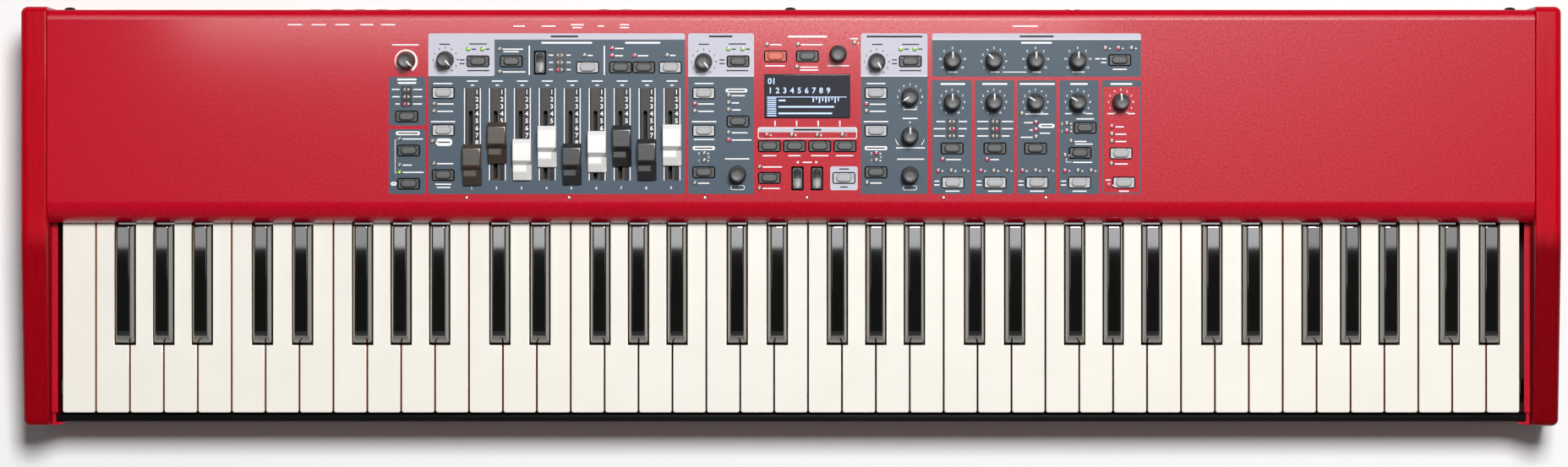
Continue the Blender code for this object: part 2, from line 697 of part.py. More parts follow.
def add_white_tail(bm, index):
    left, right = white_neck(index)
    add_box(bm, (left + TAIL_INSET, right - TAIL_INSET), (TAIL_FRONT - OVERLAP, TAIL_END),
            (WHITE_TAIL_BOTTOM, WHITE_TOP - TAIL_INSET))


def add_white_fulcrum(bm, index):
    left, right = white_neck(index)
    add_box(bm, (left + 2 * TAIL_INSET, right - 2 * TAIL_INSET), around(HINGE_Y, FULCRUM_LENGTH),
            (KEY_BOTTOM, WHITE_TAIL_BOTTOM + OVERLAP))


def make_white_keys(name, indices):
    """One white key, or a group of them joined by a bar behind the hinge."""
    keys = build_keys(name, indices, ivory_plastic(), (add_white_front, add_white_tail, add_white_fulcrum))
    if len(indices) > 1:
        left = white_neck(indices[0])[0] + 2 * TAIL_INSET
        right = white_neck(indices[-1])[1] - 2 * TAIL_INSET
        bm = bmesh.new()
        add_box(bm, (left, right), (HINGE_Y + BAR_FRONT, TAIL_END - TAIL_INSET),
                (WHITE_TAIL_BOTTOM + TAIL_INSET, WHITE_TOP - 2 * TAIL_INSET))
        fuse(keys, bm)
    set_origin(keys, (0.0, HINGE_Y, HINGE_Z))


def add_black_cap(bm, index):
    """A black key's front: a straight lower part and a tapered top with a sloping front."""
    x = black_x(index)
    wide, narrow = BLACK_WIDTH / 2, BLACK_TOP_WIDTH / 2
    top = WHITE_TOP + BLACK_RISE
    edge = BLACK_EDGE
    side = (wide - narrow) / BLACK_RISE * edge
    front = BLACK_FRONT_SLOPE / BLACK_RISE * edge
    rings = [
        (KEY_BOTTOM, wide, BLACK_FRONT, BLACK_REAR),
        (BLACK_SHOULDER, wide, BLACK_FRONT, BLACK_REAR),
        (top - edge, narrow + side, BLACK_FRONT + BLACK_FRONT_SLOPE - front, BLACK_REAR - BLACK_REAR_SLOPE),
        (top, narrow - edge + side, BLACK_FRONT + BLACK_FRONT_SLOPE + edge,
         BLACK_REAR - BLACK_REAR_SLOPE - edge),
    ]
    loops = []
    for z, half, low, high in rings:
        corners = ((x - half, low), (x + half, low), (x + half, high), (x - half, high))
        loops.append([bm.verts.new((*corner, z)) for corner in corners])
    bm.faces.new(list(reversed(loops[0])))
    bm.faces.new(loops[-1])
    for lower, upper in zip(loops, loops[1:]):
        for i in range(4):
            j = (i + 1) % 4
            bm.faces.new((lower[i], lower[j], upper[j], upper[i]))


def add_black_tail(bm, index):
    half = BLACK_WIDTH / 2 - TAIL_INSET
    add_box(bm, around(black_x(index), 2 * half), (BLACK_REAR - OVERLAP, TAIL_END),
            (KEY_BOTTOM + TAIL_INSET, BLACK_TAIL_TOP))


def add_black_fulcrum(bm, index):
    half = BLACK_WIDTH / 2 - 2 * TAIL_INSET
    add_box(bm, around(black_x(index), 2 * half), around(HINGE_Y, FULCRUM_LENGTH),
            (KEY_BOTTOM, KEY_BOTTOM + TAIL_INSET + OVERLAP))


def make_black_keys(name, indices):
    """One black key, or a group of them joined by a bar behind the hinge."""
    keys = build_keys(name, indices, black_plastic(), (add_black_cap, add_black_tail, add_black_fulcrum))
    if len(indices) > 1:
        half = BLACK_WIDTH / 2 - 2 * TAIL_INSET
        bm = bmesh.new()
        add_box(bm, (black_x(indices[0]) - half, black_x(indices[-1]) + half),
                (HINGE_Y + BAR_FRONT, TAIL_END - TAIL_INSET),
                (KEY_BOTTOM + 2 * TAIL_INSET, BLACK_TAIL_TOP - TAIL_INSET))
        fuse(keys, bm)
    set_origin(keys, (0.0, HINGE_Y, HINGE_Z))


def build_keys(name, indices, look, makers):
    """Fuses the parts of each key in turn, front first."""
    keys = None
    for add_part in makers:
        bm = bmesh.new()
        for index in indices:
            add_part(bm, index)
        if keys is None:
            keys = place(name, bm, look)
        else:
            fuse(keys, bm)
    return keys


def make_keys():
    """Twelve separate keys in the middle octave and four joined groups beside them."""
    middle_end = MIDDLE_FIRST + MIDDLE_COUNT
    low, high = range(MIDDLE_FIRST), range(middle_end, WHITE_COUNT)
    make_white_keys("white_keys_low", list(low))
    make_white_keys("white_keys_high", list(high))
    make_black_keys("black_keys_low", [index for index in low if has_black(index)])
    make_black_keys("black_keys_high", [index for index in high if has_black(index)])
    for index in range(MIDDLE_FIRST, middle_end):
        make_white_keys("key_%s%d" % (note(index).lower(), octave(index)), [index])
        if has_black(index):
            make_black_keys("key_%s_sharp_%d" % (note(index).lower(), octave(index)), [index])


def make_keybed():
    """The steel plate under the keys, with the rail they hinge on and the rail that stops them."""
    half = CHASSIS_HALF - PAN_TOE_LENGTH - PART_GAP
    front = SLIP_REAR + RUNNING_GAP
    plate_top = KEYBED_BOTTOM + KEYBED_PLATE
    hinge_rail_top = KEY_BOTTOM - STOP_GAP
    stop_rail_top = KEY_BOTTOM - KEY_DIP - STOP_GAP
    hinge_rail = around(HINGE_Y, KEYBED_RAIL_DEPTH)
    stop_low = KEY_FRONT + KEYBED_RAIL_INSET
    stop_rail = (stop_low, stop_low + KEYBED_RAIL_DEPTH)
    outline = [
        (front, KEYBED_BOTTOM), (hinge_rail[1], KEYBED_BOTTOM), (hinge_rail[1], hinge_rail_top),
        (hinge_rail[0], hinge_rail_top), (hinge_rail[0], plate_top), (stop_rail[1], plate_top),
        (stop_rail[1], stop_rail_top), (stop_rail[0], stop_rail_top), (stop_rail[0], plate_top),
        (front, plate_top),
    ]
    bm = bmesh.new()
    add_prism(bm, outline, -half, half, "X")
    place("keybed_frame", bm, keybed_steel())


# Controls

def make_knobs():
    """Each knob or dial with its shaft, which ends above its potentiometer."""
    bottom = PANEL_TOP + KNOB_FOOT_GAP
    top = PANEL_TOP + KNOB_HEIGHT
    profile = [
        (0.0, SHAFT_BOTTOM), (KNOB_SHAFT_RADIUS, SHAFT_BOTTOM), (KNOB_SHAFT_RADIUS, bottom),
        (KNOB_RADIUS, bottom), (KNOB_RADIUS, top - KNOB_CROWN), (KNOB_RADIUS - KNOB_CROWN, top),
        (0.0, top),
    ]
    for name, (x, row) in KNOB_PLACES.items():
        bm = bmesh.new()
        add_turned(bm, profile, (0.0, 0.0), KNOB_SIDES)
        knob = place(name, bm, dark_plastic())
        knob.location = (x, panel_y(row), 0.0)
        shade_round(knob)


def drawbar_outline():
    """A drawbar cap's side view, from its front edge: a low step, then the high grip."""
    high_front = DRAWBAR_FRONT_SLOPE + DRAWBAR_LOW_FLAT + DRAWBAR_STEP_SLOPE
    high_rear = high_front + DRAWBAR_HIGH_FLAT
    rear = high_rear + DRAWBAR_REAR_SLOPE
    return [
        (0.0, 0.0), (rear, 0.0), (rear, DRAWBAR_REAR_HEIGHT), (high_rear, DRAWBAR_HEIGHT),
        (high_front, DRAWBAR_HEIGHT), (high_front - DRAWBAR_STEP_SLOPE, DRAWBAR_LOW_TOP),
        (DRAWBAR_FRONT_SLOPE, DRAWBAR_LOW_TOP), (0.0, DRAWBAR_LIP),
    ]


def drawbar_look(index):
    """Brown, white and black caps in the order of a drawbar organ."""
    looks = (brown_plastic, brown_plastic, white_plastic, white_plastic, dark_plastic,
             white_plastic, dark_plastic, dark_plastic, white_plastic)
    return looks[index % len(looks)]()


def make_drawbars():
    """Nine drawbars, each with the stem that runs in its slot, pulled out as they are set."""
    for index, value in enumerate(DRAWBAR_VALUES):
        pushed_in = DRAWBAR_TRAVEL * (1 - value / DRAWBAR_MARKS)
        x = drawbar_x(index)
        front = DRAWBAR_OUT_Y + pushed_in
        bottom = PANEL_TOP + DRAWBAR_FOOT_GAP
        bm = bmesh.new()
        add_prism(bm, drawbar_outline(), -DRAWBAR_WIDTH / 2, DRAWBAR_WIDTH / 2, "X")
        bar = place("drawbar_%d" % (index + 1), bm, drawbar_look(index))
        stem = bmesh.new()
        add_box(stem, around(STEM_SIDE, STEM_WIDTH), around(STEM_FROM_FRONT, STEM_LENGTH),
                (SHAFT_BOTTOM - bottom, OVERLAP))
        fuse(bar, stem)
        bar.location = (x, front, bottom)


def mat_ranges(buttons, rockers):
    """The x and y ranges of a button mat: its caps with a margin."""
    sizes = [(place_, BUTTON_WIDTH, BUTTON_DEPTH) for place_ in buttons]
    sizes += [(place_, ROCKER_WIDTH, ROCKER_DEPTH) for place_ in rockers]
    xs = [x + side * (width / 2 + MAT_MARGIN) for (x, _), width, _ in sizes for side in (-1, 1)]
    ys = [panel_y(row) + side * (depth / 2 + MAT_MARGIN) for (_, row), _, depth in sizes
          for side in (-1, 1)]
    return (min(xs), max(xs)), (min(ys), max(ys))


def make_button_mat(name, buttons, rockers=()):
    """One moulded mat: a thin web, a cap for each button, and a plunger under each cap."""
    bm = bmesh.new()
    add_box(bm, *mat_ranges(buttons, rockers), (MAT_BOTTOM, MAT_TOP))
    mat = place(name, bm, button_silicone())
    cut(mat, mat_openings())
    caps, plungers = bmesh.new(), bmesh.new()
    top = PANEL_TOP + BUTTON_RISE
    for places, width, depth in ((buttons, BUTTON_WIDTH, BUTTON_DEPTH),
                                 (rockers, ROCKER_WIDTH, ROCKER_DEPTH)):
        for x, row in places:
            add_box(caps, around(x, width), around(panel_y(row), depth), (MAT_MIDDLE, top))
            add_box(plungers, around(x, PLUNGER_SIZE), around(panel_y(row), PLUNGER_SIZE),
                    (PLUNGER_BOTTOM, MAT_MIDDLE - PART_GAP))
    fuse(mat, caps)
    fuse(mat, plungers)


def mat_openings():
    """Cutters that clear the shafts, the drawbars' stems and the display out of the mats."""
    bm = bmesh.new()
    heights = (MAT_BOTTOM - MAT_CLEARANCE, MAT_TOP + MAT_CLEARANCE)
    gap = 2 * MAT_CLEARANCE
    for x, row in KNOB_PLACES.values():
        add_prism(bm, circle(KNOB_SHAFT_RADIUS + MAT_CLEARANCE, 8, (x, panel_y(row))), *heights)
    for index in range(len(DRAWBAR_VALUES)):
        add_box(bm, around(drawbar_x(index) + STEM_SIDE, STEM_WIDTH + gap),
                around(SLOT_Y, SLOT_LENGTH + gap), heights)
    add_box(bm, around(DISPLAY_PLACE[0], DISPLAY_WIDTH + 2 * DISPLAY_FRAME + gap),
            around(panel_y(DISPLAY_PLACE[1]), DISPLAY_DEPTH + 2 * DISPLAY_FRAME + gap), heights)
    return bm


# Electronics

def control_board_ranges():
    """The board reaches a margin past the mats, and its posts stand in that margin."""
    ranges = [mat_ranges(*mat) for mat in (
        (ORGAN_BUTTONS, ORGAN_ROCKERS), (MIDDLE_BUTTONS, MIDDLE_ROCKERS), (EFFECT_BUTTONS, ()))]
    x_range = (min(x[0] for x, _ in ranges) - BOARD_MARGIN, max(x[1] for x, _ in ranges) + BOARD_MARGIN)
    y_range = (min(y[0] for _, y in ranges), max(y[1] for _, y in ranges))
    return x_range, y_range


def make_control_board():
    """The board under the panel, with the potentiometers, the drawbars' sliders and four posts."""
    x_range, y_range = control_board_ranges()
    bm = bmesh.new()
    add_box(bm, x_range, y_range, (BOARD_BOTTOM, BOARD_TOP))
    board = place("control_board", bm, green_board())
    bm = bmesh.new()
    for x, row in KNOB_PLACES.values():
        add_box(bm, around(x, POT_SIZE), around(panel_y(row), POT_SIZE), (BOARD_MIDDLE, POT_TOP))
    for index in range(len(DRAWBAR_VALUES)):
        add_box(bm, around(drawbar_x(index) + STEM_SIDE, POT_SIZE), around(SLOT_Y, SLIDER_LENGTH),
                (BOARD_MIDDLE, POT_TOP))
    for end_x, inward in ((x_range[0], 1), (x_range[1], -1)):
        for end_y, forward in ((y_range[0], 1), (y_range[1], -1)):
            add_box(bm, around(end_x + inward * BOARD_MARGIN / 2, POST_SIZE),
                    around(end_y + forward * POST_SIZE, POST_SIZE), (BOARD_MIDDLE, PANEL_UNDER - PART_GAP))
    fuse(board, bm)


def make_display():
    """The display module: its frame under the panel and its window flush with it."""
    x, y = DISPLAY_PLACE[0], panel_y(DISPLAY_PLACE[1])
    bm = bmesh.new()
    add_box(bm, around(x, DISPLAY_WIDTH + 2 * DISPLAY_FRAME), around(y, DISPLAY_DEPTH + 2 * DISPLAY_FRAME),
            (BOARD_TOP + PART_GAP, PANEL_UNDER - PART_GAP))
    display = place("display_module", bm, display_glass())
    bm = bmesh.new()
    add_box(bm, around(x, DISPLAY_WIDTH), around(y, DISPLAY_DEPTH),
            (PANEL_UNDER - OVERLAP, PANEL_TOP + DISPLAY_RISE))
    fuse(display, bm)


def socket_bodies():
    """The sockets' housings, each standing on the main board behind the rear wall."""
    bm = bmesh.new()
    bottom = MAIN_BOARD_TOP - BOARD_THICKNESS / 2
    sized = [(x, JACK_BODY_SIZE) for x in JACK_PLACES]
    sized += [(x, ROUND_SOCKET_SIZE) for x in ROUND_SOCKET_PLACES]
    sized += [(DATA_SOCKET_PLACE, DATA_SOCKET_SIZE), (POWER_SOCKET_PLACE, POWER_SOCKET_SIZE)]
    sized += [(SWITCH_PLACE, (SWITCH_WIDTH + 2 * (RUNNING_GAP + SWITCH_WALL), SWITCH_BOX_DEPTH,
                              SOCKET_RISE + SWITCH_HEIGHT / 2 + RUNNING_GAP + SWITCH_WALL))]
    for x, (width, depth, height) in sized:
        add_box(bm, around(x, width), (SOCKET_FACE - depth, SOCKET_FACE), (bottom, MAIN_BOARD_TOP + height))
    return bm


def socket_bores():
    """Cutters for the mouths of the sockets and the space the power switch rocks in."""
    bm = bmesh.new()
    outside = PANEL_REAR + JACK_BARREL_PROUD + PART_GAP
    for x in JACK_PLACES:
        add_prism(bm, circle(JACK_BORE_RADIUS, ROUND_SIDES, (SOCKET_HEIGHT, x)),
                  outside - JACK_BORE_DEPTH, outside, "Y")
    for x in ROUND_SOCKET_PLACES:
        add_prism(bm, circle(ROUND_SOCKET_BORE_RADIUS, ROUND_SIDES, (SOCKET_HEIGHT, x)),
                  SOCKET_FACE - ROUND_SOCKET_BORE_DEPTH, outside, "Y")
    for x, (width, depth, height) in ((DATA_SOCKET_PLACE, DATA_SOCKET_BORE),
                                      (POWER_SOCKET_PLACE, POWER_SOCKET_BORE)):
        add_box(bm, around(x, width), (SOCKET_FACE - depth, outside), around(SOCKET_HEIGHT, height))
    gap = 2 * RUNNING_GAP
    add_box(bm, around(SWITCH_PLACE, SWITCH_WIDTH + gap),
            (SOCKET_FACE - SWITCH_BOX_DEPTH + SWITCH_WALL, outside),
            around(SOCKET_HEIGHT, SWITCH_HEIGHT + gap))
    return bm


def make_main_board():
    """The board at the rear with its sockets, on posts from the pan."""
    left = min(JACK_PLACES) - MAIN_BOARD_MARGIN
    right = SWITCH_PLACE + MAIN_BOARD_MARGIN
    front = SOCKET_FACE - MAIN_BOARD_DEPTH
    bm = bmesh.new()
    add_box(bm, (left, right), (front, SOCKET_FACE - OVERLAP),
            (MAIN_BOARD_TOP - BOARD_THICKNESS, MAIN_BOARD_TOP))
    board = place("main_board", bm, green_board())
    fuse(board, socket_bodies())
    barrels = bmesh.new()
    for x in JACK_PLACES:
        add_prism(barrels, circle(JACK_BARREL_RADIUS, ROUND_SIDES, (SOCKET_HEIGHT, x)),
                  SOCKET_FACE - OVERLAP, PANEL_REAR + JACK_BARREL_PROUD, "Y")
    fuse(board, barrels)
    cut(board, socket_bores())
    posts = bmesh.new()
    for x in (left + POST_SIZE, (left + right) / 2, right - POST_SIZE):
        for y in (front + POST_SIZE, SOCKET_FACE - JACK_BODY_SIZE[1] - POST_SIZE):
            add_box(posts, around(x, POST_SIZE), around(y, POST_SIZE),
                    (PAN_FLOOR + PART_GAP, MAIN_BOARD_TOP - BOARD_THICKNESS / 2))
    fuse(board, posts)


def make_power_switch():
    """The power switch's rocker, tilted to its off position, on its own hinge."""
    half = SWITCH_HEIGHT / 2
    outline = [(-SWITCH_BACK, -half), (SWITCH_FRONT, -half), (SWITCH_FRONT - SWITCH_DENT, 0.0),
               (SWITCH_FRONT, half), (-SWITCH_BACK, half)]
    bm = bmesh.new()
    add_prism(bm, outline, *around(0.0, SWITCH_WIDTH), "X")
    bm.transform(Matrix.Rotation(math.radians(-SWITCH_THROW / 2), 4, "X"))
    switch = place("power_switch", bm, black_plastic())
    switch.location = (SWITCH_PLACE, SWITCH_HINGE_Y, SOCKET_HEIGHT)


def main():
    for made in list(bpy.data.objects):
        bpy.data.objects.remove(made)
    make_bottom_pan()
    make_top_panel()
    make_cheek("left_cheek", -1)
    make_cheek("right_cheek", 1)
    make_key_slip()
    make_feet()
    make_keybed()
    make_keys()
    make_knobs()
    make_drawbars()
    make_button_mat("organ_buttons", ORGAN_BUTTONS, ORGAN_ROCKERS)
    make_button_mat("middle_buttons", MIDDLE_BUTTONS, MIDDLE_ROCKERS)
    make_button_mat("effect_buttons", EFFECT_BUTTONS)
    make_control_board()
    make_display()
    make_main_board()
    make_power_switch()


main()
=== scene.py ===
"""Looks of the stage keyboard: smooth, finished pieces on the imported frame.

Metres, +Z up, +X to the player's right, +Y to the rear, as in the part. A control's place
on the panel is (x, row), the row being its distance behind the panel's nose.
"""

import json
import math

import bmesh
import bpy
from mathutils import Matrix, Vector

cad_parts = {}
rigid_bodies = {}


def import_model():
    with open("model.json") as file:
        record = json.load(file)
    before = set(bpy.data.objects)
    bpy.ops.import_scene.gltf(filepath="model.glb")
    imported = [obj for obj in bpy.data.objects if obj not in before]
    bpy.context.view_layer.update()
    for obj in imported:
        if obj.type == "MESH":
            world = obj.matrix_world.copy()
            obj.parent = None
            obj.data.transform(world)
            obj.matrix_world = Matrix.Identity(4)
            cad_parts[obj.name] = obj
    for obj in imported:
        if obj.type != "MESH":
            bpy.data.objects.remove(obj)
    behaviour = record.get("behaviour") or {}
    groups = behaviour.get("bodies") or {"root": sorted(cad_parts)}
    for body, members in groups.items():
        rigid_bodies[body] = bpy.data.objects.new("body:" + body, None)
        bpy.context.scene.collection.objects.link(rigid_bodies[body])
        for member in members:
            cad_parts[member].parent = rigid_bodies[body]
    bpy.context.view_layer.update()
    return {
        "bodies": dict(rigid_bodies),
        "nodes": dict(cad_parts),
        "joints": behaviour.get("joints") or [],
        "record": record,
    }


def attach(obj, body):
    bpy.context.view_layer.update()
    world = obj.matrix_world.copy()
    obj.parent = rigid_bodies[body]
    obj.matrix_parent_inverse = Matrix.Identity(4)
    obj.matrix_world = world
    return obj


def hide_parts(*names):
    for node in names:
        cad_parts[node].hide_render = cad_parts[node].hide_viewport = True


# The part's sizes, as the frame has them
KEY_PITCH = 0.0235
WHITE_COUNT = 43
NOTE_NAMES = "EFGABCD"
FIRST_OCTAVE = 1
WHITE_GAP = 0.0012
BLACK_WIDTH = 0.0136
BLACK_TOP_WIDTH = 0.0092
BLACK_FRONT_SLOPE = 0.0075
BLACK_REAR_SLOPE = 0.0012
BLACK_OFFSETS = {"C": -0.0021, "D": 0.0022, "F": -0.0032, "G": 0.0, "A": 0.0032}
MIDDLE_FIRST = 19
MIDDLE_COUNT = 7
RUNNING_GAP = 0.0006
BLACK_FRONT_GAP = 0.0014
TAIL_INSET = 0.0004
FULCRUM_LENGTH = 0.006
BAR_FRONT = 0.0045

KEYS_HALF = 0.50525
KEY_FRONT = -0.1359
BLACK_FRONT = -0.0877
BLACK_REAR = -0.0054
NOSE = -0.0042
TAIL_FRONT = -0.0012
HINGE_Y = 0.0591
TAIL_END = 0.0731
KEY_BOTTOM = 0.042
WHITE_TOP = 0.062
BLACK_TOP = 0.074
WHITE_TAIL_BOTTOM = 0.0535
BLACK_TAIL_TOP = 0.0505
BLACK_SHOULDER = 0.0614

BODY_FRONT = -0.145
BODY_REAR = 0.145
TOE_FRONT = -0.1447
PAN_SHEET = 0.0012
PAN_FLOOR = 0.0072
PAN_LIP_TOP = 0.0212
FOOT_HEIGHT = 0.006
FOOT_RADIUS = 0.010
# The recess of a foot's screw, as (radius, height)
FOOT_RECESS = ((0.0022, 0.0016), (0.0030, 0.0016), (0.0032, 0.0004), (0.0038, 0.0))
FOOT_PLACES = {
    "front_left_foot": (-0.47785, -0.110),
    "front_right_foot": (0.47785, -0.110),
    "rear_left_foot": (-0.47785, 0.110),
    "rear_right_foot": (0.47785, 0.110),
}
CHASSIS_HALF = 0.51285
SIDE_STRIP_TOP = 0.058
SIDE_STRIP_WIDTH = 0.0042
SLIP_FRONT = -0.1423
SLIP_REAR = -0.1373
SLIP_TOP = 0.0565
SLIP_EDGE = 0.0007
TOE_LENGTH = 0.0026
TOE_REACH = 0.0091
CHEEK_INNER = 0.51315
CHEEK_OUTER = 0.53115
CHEEK_TOP = 0.082
CHEEK_STEP = 0.0125
CHEEK_CREST = 0.0125
CHEEK_BLEND = 0.010
CHEEK_BOTTOM = 0.0075
CHEEK_CORNER = 0.005
CHEEK_EDGE = 0.0046

PANEL_TOP = 0.080
PANEL_SHEET = 0.0015
PANEL_REAR = 0.143
PANEL_BOTTOM = 0.0075
PANEL_REAR_RADIUS = 0.007
NOSE_RADIUS = 0.0145
PART_GAP = 0.0003

# How far from an edge a loop keeps a flat face flat in the light
SUPPORT = 0.0006

KNOB_RADIUS = 0.0060
KNOB_TOP = 0.0945
KNOB_BOTTOM = 0.0808
SHAFT_RADIUS = 0.003
SHAFT_BOTTOM = 0.0718
SHAFT_HOLE_RADIUS = 0.0036

DRAWBAR_FIRST_X = -0.2197
DRAWBAR_PITCH = 0.0172
DRAWBAR_WIDTH = 0.0133
DRAWBAR_BOTTOM = 0.0808
DRAWBAR_HEIGHT = 0.0105
DRAWBAR_LIP = 0.0022
DRAWBAR_FRONT_SLOPE = 0.0058
DRAWBAR_LOW_TOP = 0.0056
DRAWBAR_LOW_FLAT = 0.0047
DRAWBAR_STEP_SLOPE = 0.0028
DRAWBAR_HIGH_FLAT = 0.0119
DRAWBAR_REAR_SLOPE = 0.0032
DRAWBAR_REAR_HEIGHT = 0.0078
DRAWBAR_TRAVEL = 0.040
DRAWBAR_MARKS = 8
DRAWBAR_VALUES = (8.0, 5.0, 7.3, 5.5, 7.9, 6.2, 5.4, 7.3, 5.3)
DRAWBAR_COLOURS = ("brown", "brown", "white", "white", "black", "white", "black", "black", "white")
DRAWBAR_OUT_ROW = 0.0257
STEM_WIDTH = 0.0016
STEM_LENGTH = 0.006
STEM_FROM_FRONT = 0.0080
STEM_SIDE = -0.0012
SLOT_ROW = 0.0537
SLOT_LENGTH = 0.0472
SLOT_WIDTH = 0.0028

BUTTON_WIDTH = 0.0143
BUTTON_DEPTH = 0.0067
BUTTON_TOP = 0.0823
BUTTON_HOLE_GAP = 0.0008
HOLE_CORNERS = {"button": 0.0016, "rocker": 0.0008, "slot": 0.0012, "display": 0.0008}

# How many sides small round things have
SMALL_SIDES = 20
ROCKER_WIDTH = 0.0070
ROCKER_DEPTH = 0.0150
MAT_TOP = 0.076

DISPLAY_PLACE = (0.0111, 0.0872)
DISPLAY_WIDTH = 0.0588
DISPLAY_DEPTH = 0.0300

MAT_BOTTOM = 0.0745
MAT_MARGIN = 0.0035
MAT_CLEARANCE = 0.0015
PLUNGER_SIZE = 0.0035
PLUNGER_BOTTOM = 0.0671
DISPLAY_FRAME = 0.002
BOARD_TOP = 0.066

SCREW_HOLE_RADIUS = 0.0012
SCREW_ROW = 0.0172
SCREW_PLACES = (-0.2238, -0.1532, -0.0594, 0.0109, 0.1051, 0.1757)
REAR_SCREW_PLACES = (-0.4988, -0.0005, 0.4972)
REAR_SCREW_HEIGHT = 0.068

SOCKET_HEIGHT = 0.034
SOCKET_FACE = 0.1412
BARREL_GAP = 0.0004
WASHER_THICKNESS = 0.0004
SWITCH_HOLE_GAP = 0.0012
JACK_PLACES = (-0.3325, -0.3167, -0.3009, -0.2851, -0.2693, -0.1311, -0.1148)
JACK_BORE_RADIUS = 0.0034
JACK_BARREL_RADIUS = 0.0046
ROUND_SOCKET_PLACES = (-0.1876, -0.1674)
ROUND_SOCKET_RADIUS = 0.0068
JACK_BODY_SIZE = (0.0142, 0.024, 0.018)
ROUND_SOCKET_SIZE = (0.0180, 0.014, 0.0190)
DATA_SOCKET_PLACE = -0.1474
DATA_SOCKET_SIZE = (0.0120, 0.016, 0.0155)
DATA_SOCKET_OPENING = (0.0100, 0.0090)
POWER_SOCKET_PLACE = 0.1630
POWER_SOCKET_SIZE = (0.0280, 0.022, 0.0202)
POWER_SOCKET_OPENING = (0.0245, 0.0168)
SWITCH_BOX_SIZE = (0.0142, 0.010, 0.0206)
MAIN_BOARD_TOP = 0.024
MAIN_BOARD_DEPTH = 0.050
MAIN_BOARD_MARGIN = 0.014
BOARD_THICKNESS = 0.0016
POST_SIZE = 0.005
SWITCH_PLACE = 0.1960
SWITCH_HINGE = (0.1960, 0.1398, 0.034)
SWITCH_WIDTH = 0.0100
SWITCH_HEIGHT = 0.0170
SWITCH_BACK = 0.0030
SWITCH_FRONT = 0.0040
SWITCH_DENT = 0.0010
SWITCH_TILT = -6.0

# Knobs: (x, row, degrees the pointer stands clockwise from straight back)
KNOBS = {
    "master_level_knob": (-0.2652, 0.1116, 133),
    "organ_level_knob": (-0.2384, 0.1123, 139),
    "piano_level_knob": (-0.0603, 0.1110, 144),
    "sample_level_knob": (0.0591, 0.1110, 150),
    "attack_knob": (0.0819, 0.0868, -122),
    "decay_knob": (0.0819, 0.0599, 0),
    "bass_knob": (0.1112, 0.1120, 0),
    "middle_tuning_knob": (0.1398, 0.1120, -47),
    "middle_gain_knob": (0.1685, 0.1120, 0),
    "treble_knob": (0.1976, 0.1120, 0),
    "effect_one_knob": (0.1110, 0.0832, 0),
    "effect_two_knob": (0.1398, 0.0832, 0),
    "speaker_drive_knob": (0.1685, 0.0832, -56),
    "delay_knob": (0.1976, 0.0832, -59),
    "reverb_knob": (0.2273, 0.0832, -5),
}
DIALS = {
    "piano_dial": (-0.0369, 0.0333),
    "program_dial": (0.0324, 0.1164),
    "sample_dial": (0.0819, 0.0328),
}

# Buttons: (x, row, look)
ORGAN_BUTTONS = (
    (-0.2650, 0.0732, "dark"), (-0.2637, 0.0497, "dark"), (-0.2637, 0.0268, "dark"),
    (-0.2399, 0.0895, "light"), (-0.2399, 0.0637, "light"), (-0.2399, 0.0328, "dark"),
    (-0.2159, 0.1113, "dark"), (-0.1929, 0.1113, "dark"), (-0.1403, 0.1071, "light"),
    (-0.1176, 0.1071, "dark"), (-0.1016, 0.1071, "dark"), (-0.0833, 0.1071, "light"),
)
ORGAN_ROCKERS = ((-0.1731, 0.1104),)
MIDDLE_BUTTONS = (
    (-0.0366, 0.1113, "dark"), (-0.0602, 0.0893, "light"), (-0.0602, 0.0634, "light"),
    (-0.0602, 0.0347, "dark"), (-0.0366, 0.0698, "dark"), (-0.0108, 0.1148, "orange"),
    (0.0112, 0.1148, "dark"), (-0.0150, 0.0527, "dark"), (0.0023, 0.0527, "dark"),
    (0.0197, 0.0527, "dark"), (0.0371, 0.0527, "dark"), (-0.0150, 0.0308, "dark"),
    (0.0364, 0.0308, "light"), (0.0822, 0.1113, "dark"), (0.0585, 0.0893, "light"),
    (0.0585, 0.0634, "light"), (0.0585, 0.0347, "dark"),
)
MIDDLE_ROCKERS = ((0.0044, 0.0305), (0.0178, 0.0305))
EFFECT_BUTTONS = (
    (0.2266, 0.1121, "dark"), (0.1110, 0.0512, "dark"), (0.1405, 0.0512, "dark"),
    (0.1685, 0.0512, "dark"), (0.2027, 0.0654, "dark"), (0.1992, 0.0481, "dark"),
    (0.2274, 0.0478, "light"), (0.1115, 0.0276, "light"), (0.1406, 0.0276, "light"),
    (0.1695, 0.0276, "light"), (0.1988, 0.0276, "light"), (0.2294, 0.0276, "light"),
)

